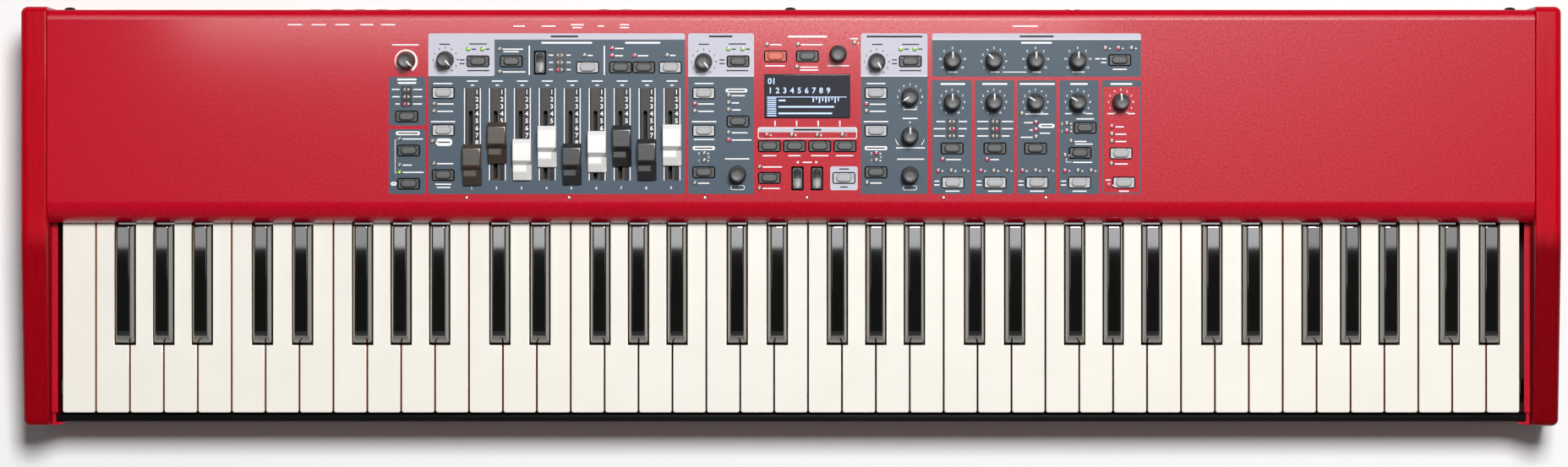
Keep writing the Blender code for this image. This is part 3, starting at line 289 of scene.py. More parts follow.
# Lamps: (x, row, look, length of the mark beside it in mm, to its left if negative)
LAMPS = (
    (-0.2704, 0.0577, "off", 14.3), (-0.2702, 0.0397, "off", 6.6), (-0.2702, 0.0347, "green", 14.6),
    (-0.2228, 0.1197, "green", 3.4), (-0.2130, 0.1197, "green", 2.9), (-0.2012, 0.1197, "off", 14.2),
    (-0.2012, 0.1040, "off", 15.8), (-0.1427, 0.1154, "off", 3.7), (-0.2464, 0.0819, "off", 11.4),
    (-0.2464, 0.0768, "off", 11.1), (-0.2475, 0.0562, "off", 0), (-0.2464, 0.0407, "off", 11.3),
    (-0.1238, 0.1202, "red", 6.2), (-0.1238, 0.1152, "red", 5.7), (-0.1082, 0.1152, "red", 7.5),
    (-0.0858, 0.1154, "off", 3.9), (-0.0434, 0.1197, "green", 3.1), (-0.0336, 0.1197, "green", 2.9),
    (-0.0666, 0.0819, "red", 11.3), (-0.0666, 0.0768, "off", 11.1), (-0.0602, 0.0477, "off", 0),
    (-0.0602, 0.0427, "off", 0), (-0.0666, 0.0272, "off", 7.9), (-0.0433, 0.0876, "off", 9.2),
    (-0.0433, 0.0826, "off", 5.2), (-0.0433, 0.0778, "off", 6.3), (-0.0433, 0.0620, "off", 11.1),
    (-0.0433, 0.0570, "red", 13.8),
    (-0.0169, 0.1228, "off", 8.1), (0.0045, 0.1228, "off", 15.0), (0.0038, 0.1073, "off", 12.5),
    (0.0435, 0.1240, "off", 0), (-0.0170, 0.0604, "red", 0), (0.0002, 0.0604, "off", 0),
    (0.0178, 0.0604, "off", 0), (0.0351, 0.0604, "off", 0), (-0.0220, 0.0384, "off", 13.4),
    (-0.0220, 0.0236, "off", 11.9), (0.0755, 0.1197, "green", 3.4), (0.0852, 0.1197, "green", 3.1),
    (0.0518, 0.0817, "red", 11.2), (0.0518, 0.0768, "off", 11.2), (0.0586, 0.0477, "red", 0),
    (0.0586, 0.0428, "off", 0), (0.0522, 0.0273, "off", 8.0),
    (0.2168, 0.1202, "off", 0), (0.2258, 0.1202, "red", 0), (0.2348, 0.1202, "off", 0),
    (0.1044, 0.0435, "red", 10.5), (0.1350, 0.0435, "red", 6.1), (0.1014, 0.0356, "red", 0),
    (0.1103, 0.0356, "off", 0), (0.1192, 0.0356, "off", 0), (0.1308, 0.0356, "red", 0),
    (0.1398, 0.0356, "off", 0), (0.1489, 0.0356, "off", 0), (0.1595, 0.0357, "red", 0),
    (0.1686, 0.0357, "off", 0), (0.1777, 0.0357, "off", 0), (0.1889, 0.0357, "red", 0),
    (0.1978, 0.0357, "off", 0), (0.2069, 0.0357, "off", 0), (0.1591, 0.0750, "off", 16.0),
    (0.1689, 0.0690, "red", -6.2), (0.1689, 0.0639, "red", -2.3), (0.1689, 0.0589, "off", -8.4),
    (0.1901, 0.0683, "off", 0), (0.1901, 0.0631, "red", 0), (0.1930, 0.0560, "off", 8.4),
    (0.1889, 0.0464, "off", 0), (0.2212, 0.0661, "red", 5.9), (0.2212, 0.0610, "off", 7.6),
    (0.2212, 0.0560, "off", 7.8), (0.2209, 0.0405, "off", 9.0), (0.2191, 0.0257, "red", 0),
)

# A lamp's ring and its domed lens, as (radius, height over the panel)
LAMP_RING = ((0.00155, -0.0002), (0.00155, 0.00012), (0.0013, 0.00016))
LAMP_LENS = ((0.00100, 0.0), (0.00100, 0.00022), (0.0008, 0.00042), (0.0004, 0.00052))

# Lamp windows of two columns of three arrows: (x, row, (column, row) of the lit arrow,
# lengths in mm of the marks on the left and on the right, from the rear)
LAMP_WINDOWS = (
    (-0.2652, 0.0869, (0, 2), (5.6, 5.3, 3.1), (6.4, 6.4, 6.3)),
    (-0.1594, 0.1106, (0, 2), (3.3, 3.0, 3.2), (3.0, 3.0, 3.0)),
    (0.1109, 0.0648, (1, 1), (6.2, 8.1, 8.1), (6.0, 5.8, 4.0)),
    (0.1406, 0.0648, (1, 1), (7.8, 7.8, 7.8), (8.0, 8.0, 5.5)),
)
WINDOW_SIZE = (0.0071, 0.0143)
ARROW_ROW = 0.0050

# Plain bars where the labels are: (x, row, length in mm)
LABEL_HEIGHT = 0.00085
LABELS = (
    (-0.2659, 0.1227, 18.6), (-0.2389, 0.1231, 7.2), (-0.2158, 0.1233, 12.3), (-0.2158, 0.1049, 15.4),
    (-0.1930, 0.1180, 10.6), (-0.2398, 0.0265, 11.1), (-0.2396, 0.0243, 9.5), (-0.2401, 0.0960, 13.3),
    (-0.2399, 0.0697, 17.0), (-0.0601, 0.1231, 7.1), (-0.0370, 0.1233, 12.1), (-0.0371, 0.1049, 15.3),
    (-0.0600, 0.0960, 13.0), (-0.0600, 0.0697, 17.0), (-0.0600, 0.0574, 14.3), (-0.0372, 0.0440, 16.9),
    (-0.0110, 0.1082, 13.8), (0.0125, 0.1053, 12.8), (0.0326, 0.1083, 14.9), (0.0435, 0.1270, 5.6),
    (-0.0149, 0.0462, 9.6), (0.0023, 0.0462, 8.5), (0.0197, 0.0462, 12.0), (0.0368, 0.0462, 12.2),
    (0.0111, 0.0416, 6.5), (0.0365, 0.0370, 7.0), (0.0365, 0.0246, 5.4), (0.0594, 0.1230, 7.2),
    (0.0824, 0.1230, 12.0), (0.0822, 0.1049, 15.3), (0.0585, 0.0960, 13.0), (0.0585, 0.0697, 17.0),
    (0.0820, 0.0781, 9.5), (0.0820, 0.0719, 10.4), (0.0823, 0.0516, 20.1), (0.0824, 0.0438, 18.7),
    (0.1115, 0.1039, 6.4), (0.1406, 0.1039, 6.2), (0.1693, 0.1039, 6.1), (0.1981, 0.1039, 8.7),
    (0.2266, 0.1058, 9.8), (0.1913, 0.0752, 4.9), (0.2055, 0.0752, 5.0), (0.2205, 0.0752, 4.9),
    (0.2346, 0.0752, 5.0), (0.2028, 0.0716, 12.3), (0.2018, 0.0542, 12.3), (0.2009, 0.0416, 13.5),
    (0.1750, 0.0617, 7.2), (0.1113, 0.0217, 9.8), (0.1406, 0.0217, 9.8), (0.1695, 0.0217, 9.8),
    (0.1988, 0.0217, 9.8), (0.2294, 0.0217, 7.0), (0.2185, 0.0294, 3.7), (0.2113, 0.1131, 3.6),
    (-0.3421, 0.1366, 10.0), (-0.3257, 0.1366, 10.0), (-0.3094, 0.1366, 10.0), (-0.2925, 0.1366, 9.0),
    (-0.2779, 0.1366, 10.0), (-0.1876, 0.1356, 8.0), (-0.1672, 0.1356, 9.8), (-0.1474, 0.1366, 9.0),
    (-0.1474, 0.1346, 6.5), (-0.1311, 0.1356, 4.5), (-0.1148, 0.1366, 6.5), (-0.1148, 0.1346, 6.5),
    (0.1615, 0.1356, 17.5),
)
HEADING_HEIGHT = 0.0013
HEADINGS = (
    (-0.1563, 0.1285, 19.0), (-0.1547, 0.1241, 35.1), (-0.1023, 0.1241, 24.4), (-0.2649, 0.0988, 13.5),
    (-0.2648, 0.0964, 12.9), (-0.0486, 0.1285, 16.3), (0.0112, 0.1284, 27.0), (0.0112, 0.0641, 19.2),
    (0.0713, 0.1284, 38.4), (0.1693, 0.1285, 23.6), (0.1692, 0.1241, 21.4), (0.1115, 0.0957, 17.1),
    (0.1404, 0.0957, 17.4), (0.1697, 0.0957, 24.3), (0.1985, 0.0957, 12.2), (0.2277, 0.0957, 15.1),
)

# White pills with a dark bar in them: (x, row, width in mm, depth in mm)
PILLS = (
    (-0.2642, 0.0617, 16.7, 2.7), (-0.2393, 0.0555, 11.3, 5.2), (-0.2740, 0.0268, 4.0, 2.6),
    (-0.0377, 0.0912, 15.0, 2.7), (-0.0602, 0.0514, 15.4, 2.8), (0.0585, 0.0514, 15.6, 2.8),
    (0.1762, 0.0668, 11.0, 2.9),
)

# Single numbers: (x, row, text)
NUMBERS = (
    (-0.0635, 0.0477, "2"), (-0.0635, 0.0427, "1"), (-0.0568, 0.0452, "3"), (0.0553, 0.0477, "2"),
    (0.0553, 0.0428, "1"), (0.0619, 0.0452, "3"), (0.1868, 0.0683, "2"), (0.1868, 0.0631, "1"),
    (0.1932, 0.0657, "3"), (-0.0140, 0.0604, "1"), (0.0032, 0.0604, "2"), (0.0208, 0.0604, "3"),
    (0.0381, 0.0604, "4"),
)

# Buttons with two short marks on their left
ZONE_BUTTONS = ((-0.2159, 0.1113), (-0.0366, 0.1113), (0.0822, 0.1113))
SOURCE_BUTTONS = (
    (0.2266, 0.1121), (0.1115, 0.0276), (0.1406, 0.0276), (0.1695, 0.0276), (0.1988, 0.0276),
)
LIST_BOXES = ((-0.0369, 0.0242), (0.0819, 0.0240))
LIST_BOX_SIZE = (0.0098, 0.0034)

SCALE_RADIUS = 0.0085
SCALE_DIGIT = 0.0015
PLAIN_KNOBS = ("master_level_knob", "decay_knob")
TONE_KNOBS = ("bass_knob", "middle_gain_knob", "treble_knob")

# Printed fields: (x from, x to, row from, row to)
BLUE_FIELDS = (
    (-0.2774, -0.2521, 0.0669, 0.1006), (-0.2774, -0.2521, 0.0197, 0.0645),
    (-0.2501, -0.0732, 0.0197, 0.1306), (-0.0710, -0.0256, 0.0197, 0.1306),
    (0.0481, 0.0940, 0.0197, 0.1306), (0.0973, 0.2412, 0.1007, 0.1306),
    (0.0972, 0.1245, 0.0197, 0.0983), (0.1268, 0.1539, 0.0197, 0.0983),
    (0.1561, 0.1828, 0.0197, 0.0983), (0.1850, 0.2121, 0.0197, 0.0983),
)
ORGAN_HEADER = (-0.2501, -0.0732, 0.1263, 0.1306)
ORGAN_BLOCK = (-0.2045, 0.1011)
LAVENDER_BLOCKS = (
    (-0.0710, -0.0256, 0.1011, 0.1306), (0.0481, 0.0940, 0.1011, 0.1306), (0.0973, 0.2412, 0.1264, 0.1306),
)
SHIFT_FIELD = (0.0270, 0.0459, 0.0224, 0.0388)
OUTLINED_FIELD = (0.2145, 0.2414, 0.0197, 0.0983)
OUTLINED_HEADER = 0.0937
PROGRAM_BOX = (-0.0229, 0.0454, 0.0577, 0.0658)
PROGRAM_HEADER = (-0.0229, 0.0454, 0.0624, 0.0658)
FIELD_CORNER = 0.0015


def behind(row):
    """The y of a row on the panel."""
    return NOSE + row


def on_panel(place):
    """The (x, y) of a place on the panel that is given as x and row first."""
    return place[0], behind(place[1])


def shaft_places():
    """The (x, y) of every knob and dial."""
    return [on_panel(place) for place in list(KNOBS.values()) + list(DIALS.values())]


def drawbar_x(index):
    """The middle of a drawbar, from the left."""
    return DRAWBAR_FIRST_X + index * DRAWBAR_PITCH


def stem_places():
    """The (x, y) of the middle of every drawbar's slot."""
    return [(drawbar_x(index) + STEM_SIDE, behind(SLOT_ROW)) for index in range(len(DRAWBAR_VALUES))]


# Shapes

def circle(radius, sides, centre=(0.0, 0.0)):
    """Points round a circle, anticlockwise."""
    turn = 2 * math.pi / sides
    return [(centre[0] + radius * math.cos(turn * i), centre[1] + radius * math.sin(turn * i))
            for i in range(sides)]


def arc(centre, radius, start, end, steps):
    """Points of an arc from one angle to another, in degrees."""
    points = []
    for i in range(steps + 1):
        angle = math.radians(start + (end - start) * i / steps)
        points.append((centre[0] + radius * math.cos(angle), centre[1] + radius * math.sin(angle)))
    return points


def rounded_rect(centre, width, depth, radius, steps=4):
    """The outline of a rectangle with rounded corners, anticlockwise."""
    x, y = width / 2 - radius, depth / 2 - radius
    points = []
    for side_x, side_y, start in ((1, 1, 0), (-1, 1, 90), (-1, -1, 180), (1, -1, 270)):
        middle = (centre[0] + side_x * x, centre[1] + side_y * y)
        points += arc(middle, radius, start, start + 90, steps)
    return points


def join_loops(bm, loops):
    """Faces between each loop of vertices and the next."""
    faces = []
    for lower, upper in zip(loops, loops[1:]):
        for i in range(len(lower)):
            j = (i + 1) % len(lower)
            faces.append(bm.faces.new((lower[i], lower[j], upper[j], upper[i])))
    return faces


def add_rings(bm, rings):
    """A solid through rings of points (x, y, z), each anticlockwise seen from above, lowest first."""
    loops = [[bm.verts.new(point) for point in ring] for ring in rings]
    bottom = bm.faces.new(list(reversed(loops[0])))
    sides = join_loops(bm, loops)
    return [bottom, *sides, bm.faces.new(loops[-1])]


def at_height(outline, z):
    """A flat outline lifted to a height."""
    return [(x, y, z) for x, y in outline]


def add_plate(bm, outline, low, high):
    """A flat plate with square edges."""
    return add_rings(bm, [at_height(outline, low), at_height(outline, high)])


def add_box(bm, x_range, y_range, z_range):
    """A box with square edges between three ranges."""
    outline = [(x_range[0], y_range[0]), (x_range[1], y_range[0]), (x_range[1], y_range[1]),
               (x_range[0], y_range[1])]
    return add_plate(bm, outline, *z_range)


def add_pillow(bm, centre, size, corner, heights, edge, steps=5):
    """A rounded rectangle whose top edge is rounded over, from the lower to the upper height."""
    low, high = heights
    least, support = corner / 5, 2.4 * edge
    rings = [at_height(rounded_rect(centre, *size, corner), low)]
    for i in range(steps + 1):
        angle = math.pi / 2 * i / steps
        inset = edge * (1 - math.cos(angle))
        z = high - edge + edge * math.sin(angle)
        shrunk = (size[0] - 2 * inset, size[1] - 2 * inset)
        rings.append(at_height(rounded_rect(centre, *shrunk, max(corner - inset, least)), z))
    flat = (size[0] - support, size[1] - support)
    rings.append(at_height(rounded_rect(centre, *flat, least), high))
    return add_rings(bm, rings)


def add_turned(bm, profile, centre=(0.0, 0.0), sides=48):
    """Turns a profile of (radius, z), bottom to top."""
    return add_rings(bm, [at_height(circle(radius, sides, centre), z) for radius, z in profile])


def add_profile(bm, outline, low, high):
    """Pushes an outline of (y, z) along x."""
    rings = [[(x, y, z) for y, z in outline] for x in (low, high)]
    return add_rings(bm, rings)


def add_line(bm, start, end, width, low, high):
    """A straight printed line between two points, with square ends."""
    along = Vector((end[0] - start[0], end[1] - start[1])).normalized() * width / 2
    side = Vector((-along.y, along.x))
    corners = [Vector(start) - side, Vector(end) - side, Vector(end) + side, Vector(start) + side]
    add_plate(bm, [tuple(corner) for corner in corners], low, high)


def soften(bm, edges, radius, segments, clamp=False):
    """Rounds edges over."""
    bmesh.ops.bevel(bm, geom=edges, offset=radius, segments=segments, profile=0.5, affect="EDGES",
                    clamp_overlap=clamp)


def make(name, bm, *looks, smooth=40.0):
    """An object from the mesh under construction, shaded round except at sharp edges."""
    bmesh.ops.recalc_face_normals(bm, faces=bm.faces)
    mesh = bpy.data.meshes.new(name)
    bm.to_mesh(mesh)
    bm.free()
    for look in looks:
        mesh.materials.append(look)
    mesh.shade_smooth()
    mesh.set_sharp_from_angle(angle=math.radians(smooth))
    made = bpy.data.objects.new(name, mesh)
    bpy.context.collection.objects.link(made)
    return made


def carve(target, bm):
    """Cuts the mesh under construction out of an object, and blackens the walls of the cut."""
    tool = make("cutter", bm, LOOKS["dark_ink"])
    change = target.modifiers.new("cut", "BOOLEAN")
    change.operation = "DIFFERENCE"
    change.material_mode = "TRANSFER"
    change.object = tool
    graph = bpy.context.evaluated_depsgraph_get()
    result = bpy.data.meshes.new_from_object(target.evaluated_get(graph))
    target.modifiers.clear()
    target.data = result
    result.shade_smooth()
    result.set_sharp_from_angle(angle=math.radians(30.0))
    bpy.data.objects.remove(tool)


def dress(piece, body, nodes=()):
    """Puts a piece on its body, in the place of the nodes it stands for."""
    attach(piece, body)
    if nodes:
        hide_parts(*nodes)


def fix(name, bm, look, nodes=()):
    """A piece of one finish that stays on the chassis."""
    dress(make(name, bm, LOOKS[look]), "chassis", nodes)


# Materials

def blank(name):
    """A new material, with its node tree and its shader."""
    made = bpy.data.materials.new(name)
    made.use_nodes = True
    return made, made.node_tree, made.node_tree.nodes["Principled BSDF"]


def noise(tree, scale, detail=4.0, stretch=(1.0, 1.0, 1.0), roughness=0.5):
    """A noise pattern in metres that sits on the object."""
    place = tree.nodes.new("ShaderNodeTexCoord")
    stretched = tree.nodes.new("ShaderNodeMapping")
    pattern = tree.nodes.new("ShaderNodeTexNoise")
    stretched.inputs["Scale"].default_value = stretch
    pattern.inputs["Scale"].default_value = scale
    pattern.inputs["Detail"].default_value = detail
    pattern.inputs["Roughness"].default_value = roughness
    tree.links.new(place.outputs["Object"], stretched.inputs["Vector"])
    tree.links.new(stretched.outputs["Vector"], pattern.inputs["Vector"])
    return pattern.outputs["Fac"]


def ramp(tree, value, stops):
    """Colours along a pattern: stops of (position, colour)."""
    made = tree.nodes.new("ShaderNodeValToRGB")
    band = made.color_ramp
    while len(band.elements) < len(stops):
        band.elements.new(0.5)
    for element, (position, colour) in zip(band.elements, stops):
        element.position = position
        element.color = (*colour, 1.0)
    tree.links.new(value, made.inputs["Fac"])
    return made.outputs["Color"]


def bump(tree, shader, height, distance, strength=1.0):
    """Makes a surface uneven by a pattern of heights."""
    made = tree.nodes.new("ShaderNodeBump")
    made.inputs["Distance"].default_value = distance
    made.inputs["Strength"].default_value = strength
    tree.links.new(height, made.inputs["Height"])
    tree.links.new(made.outputs["Normal"], shader.inputs["Normal"])


def remap(tree, value, before, after):
    """A value stretched from one range to another."""
    made = tree.nodes.new("ShaderNodeMapRange")
    made.inputs["From Min"].default_value, made.inputs["From Max"].default_value = before
    made.inputs["To Min"].default_value, made.inputs["To Max"].default_value = after
    tree.links.new(value, made.inputs["Value"])
    return made.outputs["Result"]


def vary_roughness(tree, shader, value, low, high):
    """Lets the roughness run between two values along a pattern."""
    tree.links.new(remap(tree, value, (0.0, 1.0), (low, high)), shader.inputs["Roughness"])


def tint(colour, amount):
    """A colour made lighter or darker."""
    return tuple(min(1.0, max(0.0, part * amount)) for part in colour)


def grained(name, colour, roughness, grain=900.0, depth=0.00002, spread=0.10, coat=0.0, metallic=0.0,
            specular=0.5):
    """A finish with a fine grain, a little uneven in colour and gloss."""
    made, tree, shader = blank(name)
    pattern = noise(tree, grain, 3.0)
    blotches = noise(tree, 30.0, 4.0)
    colours = ramp(tree, blotches, ((0.3, tint(colour, 1 - spread)), (0.7, tint(colour, 1 + spread))))
    tree.links.new(colours, shader.inputs["Base Color"])
    vary_roughness(tree, shader, blotches, roughness * 0.85, roughness * 1.15)
    shader.inputs["Metallic"].default_value = metallic
    shader.inputs["Specular IOR Level"].default_value = specular
    shader.inputs["Coat Weight"].default_value = coat
    shader.inputs["Coat Roughness"].default_value = 0.15
    bump(tree, shader, pattern, depth)
    return made


def ink(name, colour, roughness, depth, spread, specular):
    """A printed layer, a little uneven."""
    return grained(name, colour, roughness, 1500.0, depth, spread, specular=specular)


def silicone(name, colour, roughness=0.42, spread=0.10):
    """A soft moulded cap or pad."""
    return grained(name, colour, roughness, 1000.0, 0.00001, spread)


def moulded(name, colour):
    """A glossy moulded cap: its flat top catches the light overhead and its slopes stay dark."""
    made, tree, shader = blank(name)
    colours = ramp(tree, noise(tree, 60.0), ((0.3, tint(colour, 0.92)), (0.7, tint(colour, 1.08))))
    tree.links.new(colours, shader.inputs["Base Color"])
    vary_roughness(tree, shader, noise(tree, 400.0, 3.0), 0.20, 0.28)
    shader.inputs["Specular IOR Level"].default_value = 0.5
    shader.inputs["Coat Weight"].default_value = 0.6
    shader.inputs["Coat Roughness"].default_value = 0.16
    bump(tree, shader, noise(tree, 1100.0, 3.0), 0.00001)
    return made


def polished(name, colour, roughness, specular=0.5, index=1.5):
    """A smooth glossy plastic, a little uneven in colour."""
    made, tree, shader = blank(name)
    colours = ramp(tree, noise(tree, 25.0), ((0.3, tint(colour, 0.8)), (0.7, tint(colour, 1.2))))
    tree.links.new(colours, shader.inputs["Base Color"])
    shader.inputs["Roughness"].default_value = roughness
    shader.inputs["Specular IOR Level"].default_value = specular
    shader.inputs["IOR"].default_value = index
    return made


def lit(name, colour, strength):
    """A lamp's lens, lit from within."""
    made, tree, shader = blank(name)
    pattern = noise(tree, 600.0, 2.0)
    colours = ramp(tree, pattern, ((0.3, tint(colour, 0.85)), (0.7, colour)))
    tree.links.new(colours, shader.inputs["Base Color"])
    tree.links.new(colours, shader.inputs["Emission Color"])
    shader.inputs["Emission Strength"].default_value = strength
    shader.inputs["Roughness"].default_value = 0.2
    return made


def stained_wood(name, tone, front):
    """Red stained wood under lacquer, its grain running from front to rear, with a painted shade that
    darkens it beside the keys, as far as front says.
    """
    made, tree, shader = blank(name)
    grain = noise(tree, 60.0, 8.0, (9.0, 0.7, 9.0), 0.65)
    pores = noise(tree, 420.0, 4.0, (6.0, 0.5, 6.0))
    stains = ((0.30, (0.40, 0.0008, 0.007)), (0.52, (0.48, 0.0010, 0.009)), (0.75, (0.56, 0.0014, 0.014)))
    colours = ramp(tree, grain, [(position, tint(colour, tone)) for position, colour in stains])
    depth = tree.nodes.new("ShaderNodeSeparateXYZ")
    painted_front_shade = tree.nodes.new("ShaderNodeMix")
    painted_front_shade.data_type, painted_front_shade.blend_type = "RGBA", "MULTIPLY"
    painted_front_shade.inputs["Factor"].default_value = 1.0
    place = tree.nodes.new("ShaderNodeTexCoord")
    tree.links.new(place.outputs["Object"], depth.inputs["Vector"])
    # Painted shade: the stained colour is multiplied darker towards the front, where the cheek slopes down
    # beside the keys.
    along = remap(tree, depth.outputs["Y"], (BODY_FRONT, BODY_REAR), (0.0, 1.0))
    painted_shades = ((0.0, (0.88 * front,) * 3), (0.42, (front,) * 3), (0.47, (0.95,) * 3))
    tree.links.new(colours, painted_front_shade.inputs["A"])
    tree.links.new(ramp(tree, along, painted_shades), painted_front_shade.inputs["B"])
    tree.links.new(painted_front_shade.outputs["Result"], shader.inputs["Base Color"])
    vary_roughness(tree, shader, pores, 0.26, 0.36)
    shader.inputs["Specular IOR Level"].default_value = 0.05
    shader.inputs["Coat Weight"].default_value = 0.13
    shader.inputs["Coat Roughness"].default_value = 0.10
    bump(tree, shader, pores, 0.00012, 0.6)
    return made


def powder_coat():
    """Red powder coat: a pebbled surface with a slightly cloudy gloss."""
    made, tree, shader = blank("red_powder")
    pebbles = noise(tree, 800.0, 3.0)
    clouds = noise(tree, 14.0, 3.0)
    colours = ramp(tree, pebbles, ((0.30, (0.38, 0.0010, 0.011)), (0.70, (0.58, 0.0030, 0.022))))
    tree.links.new(colours, shader.inputs["Base Color"])
    vary_roughness(tree, shader, clouds, 0.28, 0.34)
    shader.inputs["Specular IOR Level"].default_value = 0.02
    facing = tree.nodes.new("ShaderNodeTexCoord")
    slant = tree.nodes.new("ShaderNodeSeparateXYZ")
    tree.links.new(facing.outputs["Normal"], slant.inputs["Vector"])
    dulled = remap(tree, slant.outputs["Y"], (0.01, 0.08), (0.20, 0.50))
    tree.links.new(dulled, shader.inputs["Coat Roughness"])
    sparkle = remap(tree, noise(tree, 650.0, 2.0), (0.3, 0.7), (0.66, 1.33))
    weights = ((0.10, 1.0), (0.35, 0.6), (0.50, 0.6), (0.52, 1.0), (0.69, 1.0), (0.76, 0.0))
    by_slant = ramp(tree, remap(tree, slant.outputs["Y"], (-1.0, 1.0), (0.0, 1.0)),
                    [(position, (weight,) * 3) for position, weight in weights])
    thinned = tree.nodes.new("ShaderNodeMath")
    thinned.operation = "MULTIPLY"
    tree.links.new(sparkle, thinned.inputs[0])
    tree.links.new(by_slant, thinned.inputs[1])
    tree.links.new(thinned.outputs["Value"], shader.inputs["Coat Weight"])
    bump(tree, shader, pebbles, 0.00003, 0.6)
    return made


def populated_board():
    """Green board up to its top face, and the dark parts that stand on it above that."""
    made, tree, shader = blank("board_and_parts")
    place = tree.nodes.new("ShaderNodeTexCoord")
    parts = tree.nodes.new("ShaderNodeSeparateXYZ")
    tree.links.new(place.outputs["Object"], parts.inputs["Vector"])
    height = remap(tree, parts.outputs["Z"], (BOARD_TOP - 0.0010, BOARD_TOP + 0.0010), (0.0, 1.0))
    colours = ramp(tree, height, ((0.53, (0.012, 0.13, 0.055)), (0.55, (0.020, 0.020, 0.021))))
    tree.links.new(colours, shader.inputs["Base Color"])
    vary_roughness(tree, shader, noise(tree, 200.0), 0.45, 0.60)
    shader.inputs["Specular IOR Level"].default_value = 0.1
    return made


LOOKS = {}


def make_looks():
    """Every finish in use, by name."""
    LOOKS.update({
        "red": powder_coat(),
        # The last number sets how dark the painted shade beside the keys is; the right cheek's is painted
        # darker.
        "left_cheek": stained_wood("left_cheek_stain_and_painted_shade", 1.0, 0.64),
        "right_cheek": stained_wood("right_cheek_stain_and_painted_shade", 1.05, 0.42),
        "ivory": grained("ivory_keys", (0.86, 0.83, 0.755), 0.24, 1200.0, 0.000004, 0.012, coat=0.3),
        # A painted glow on the white keys' side walls: a warm amber for the light that passes through and
        # between the keys.
        "painted_side_glow": grained("key_sides", (0.85, 0.40, 0.09), 0.45, 900.0, 0.00001, 0.02),
        "ebony": polished("black_keys", (0.0040, 0.0040, 0.0036), 0.02, 1.0, 1.9),
        "slip": grained("slip_plastic", (0.0040, 0.0040, 0.0040), 0.34, specular=0.05),
        "rubber": grained("foot_rubber", (0.014, 0.014, 0.014), 0.80, 700.0, 0.00006),
        "knob": grained("knob_plastic", (0.036, 0.036, 0.035), 0.46, 1500.0, 0.00003),
        "brown": moulded("brown_plastic", (0.052, 0.036, 0.028)),
        "white": grained("white_plastic", (0.80, 0.79, 0.77), 0.34, 1100.0, 0.00001, 0.02),
        "black": moulded("black_plastic", (0.020, 0.020, 0.022)),
        "dark": silicone("dark_silicone", (0.012, 0.013, 0.013)),
        "web": grained("web_silicone", (0.003, 0.003, 0.003), 0.60, 1000.0, 0.00001, specular=0.1),
        # A lighter grey painted as a highlight on the front half of the rockers' hollow pads.
        "rocker_front_highlight": silicone("rocker_silicone_painted_highlight", (0.17, 0.165, 0.16)),
        "dark_pad": silicone("dark_silicone_pads", (0.046, 0.050, 0.050), 0.50),
        "light": silicone("light_silicone", (0.50, 0.50, 0.51), 0.42, 0.04),
        "light_pad": silicone("light_silicone_pads", (0.38, 0.38, 0.39), 0.50, 0.04),
        "orange": silicone("orange_silicone", (0.46, 0.045, 0.022), 0.42, 0.04),
        "orange_pad": silicone("orange_silicone_pads", (0.60, 0.100, 0.055), 0.50, 0.04),
        "steel": grained("plated_steel", (0.62, 0.62, 0.62), 0.28, 600.0, 0.00001, 0.06, metallic=1.0),
        # The keybed's metal is a dark grey, partly its own colour and partly painted shade, so that the gaps
        # between the keys look dark.
        "keybed_metal_and_shade": grained("keybed_zinc_and_painted_shade", (0.10, 0.10, 0.105), 0.45, 90.0, 0.00002, 0.15, metallic=1.0),
        "brass": grained("contact_brass", (0.70, 0.50, 0.22), 0.30, 600.0, 0.00001, 0.08, metallic=1.0),
        "screw": grained("plated_screws", (0.42, 0.45, 0.38), 0.36, 600.0, 0.00001, 0.10, metallic=0.6),
        "board": grained("green_board", (0.012, 0.13, 0.055), 0.42, 300.0, 0.00003, 0.18),
        "parts": populated_board(),
        "housing": grained("housing_plastic", (0.018, 0.018, 0.020), 0.45, 900.0, 0.00001),
        "blue_ink": ink("blue_ink", (0.057, 0.087, 0.118), 0.42, 0.00005, 0.05, 0.18),
        "lavender_ink": ink("lavender_ink", (0.54, 0.54, 0.62), 0.46, 0.00005, 0.03, 0.2),
        "white_ink": ink("white_ink", (0.82, 0.82, 0.84), 0.46, 0.00004, 0.03, 0.5),
        "dark_ink": ink("dark_ink", (0.014, 0.014, 0.018), 0.46, 0.00004, 0.06, 0.15),
        "strip_ink": ink("strip_ink", (0.034, 0.029, 0.027), 0.46, 0.00004, 0.06, 0.25),
        "window": grained("lamp_window", (0.016, 0.017, 0.020), 0.18, 900.0, 0.000004, 0.05),
        "glass": polished("display_glass", (0.011, 0.011, 0.023), 0.08),
        "off": grained("lamp_unlit", (0.42, 0.35, 0.28), 0.28, 900.0, 0.00001, 0.05),
        "arrow": grained("arrow_unlit", (0.42, 0.38, 0.34), 0.35, 900.0, 0.00001, 0.05),
        "red_lamp": lit("lamp_red", (0.86, 0.035, 0.120), 0.35),
        "green_lamp": lit("lamp_green", (0.27, 0.75, 0.010), 0.35),
        "pixels": lit("display_pixels", (0.42, 0.55, 0.80), 0.55),
    })


# Casing

def panel_section(inset, steps):
    """The panel's bent section in y and z from the rear wall to the nose, drawn in by inset."""
    rear_centre = (PANEL_REAR - PANEL_REAR_RADIUS, PANEL_TOP - PANEL_REAR_RADIUS)
    nose_centre = (NOSE + NOSE_RADIUS, PANEL_TOP - NOSE_RADIUS)
    top = PANEL_TOP - inset
    return (arc(rear_centre, PANEL_REAR_RADIUS - inset, 0, 90, steps)
            + [(rear_centre[0] - SUPPORT, top), (nose_centre[0] + SUPPORT, top)]
            + arc(nose_centre, NOSE_RADIUS - inset, 90, 180, steps))


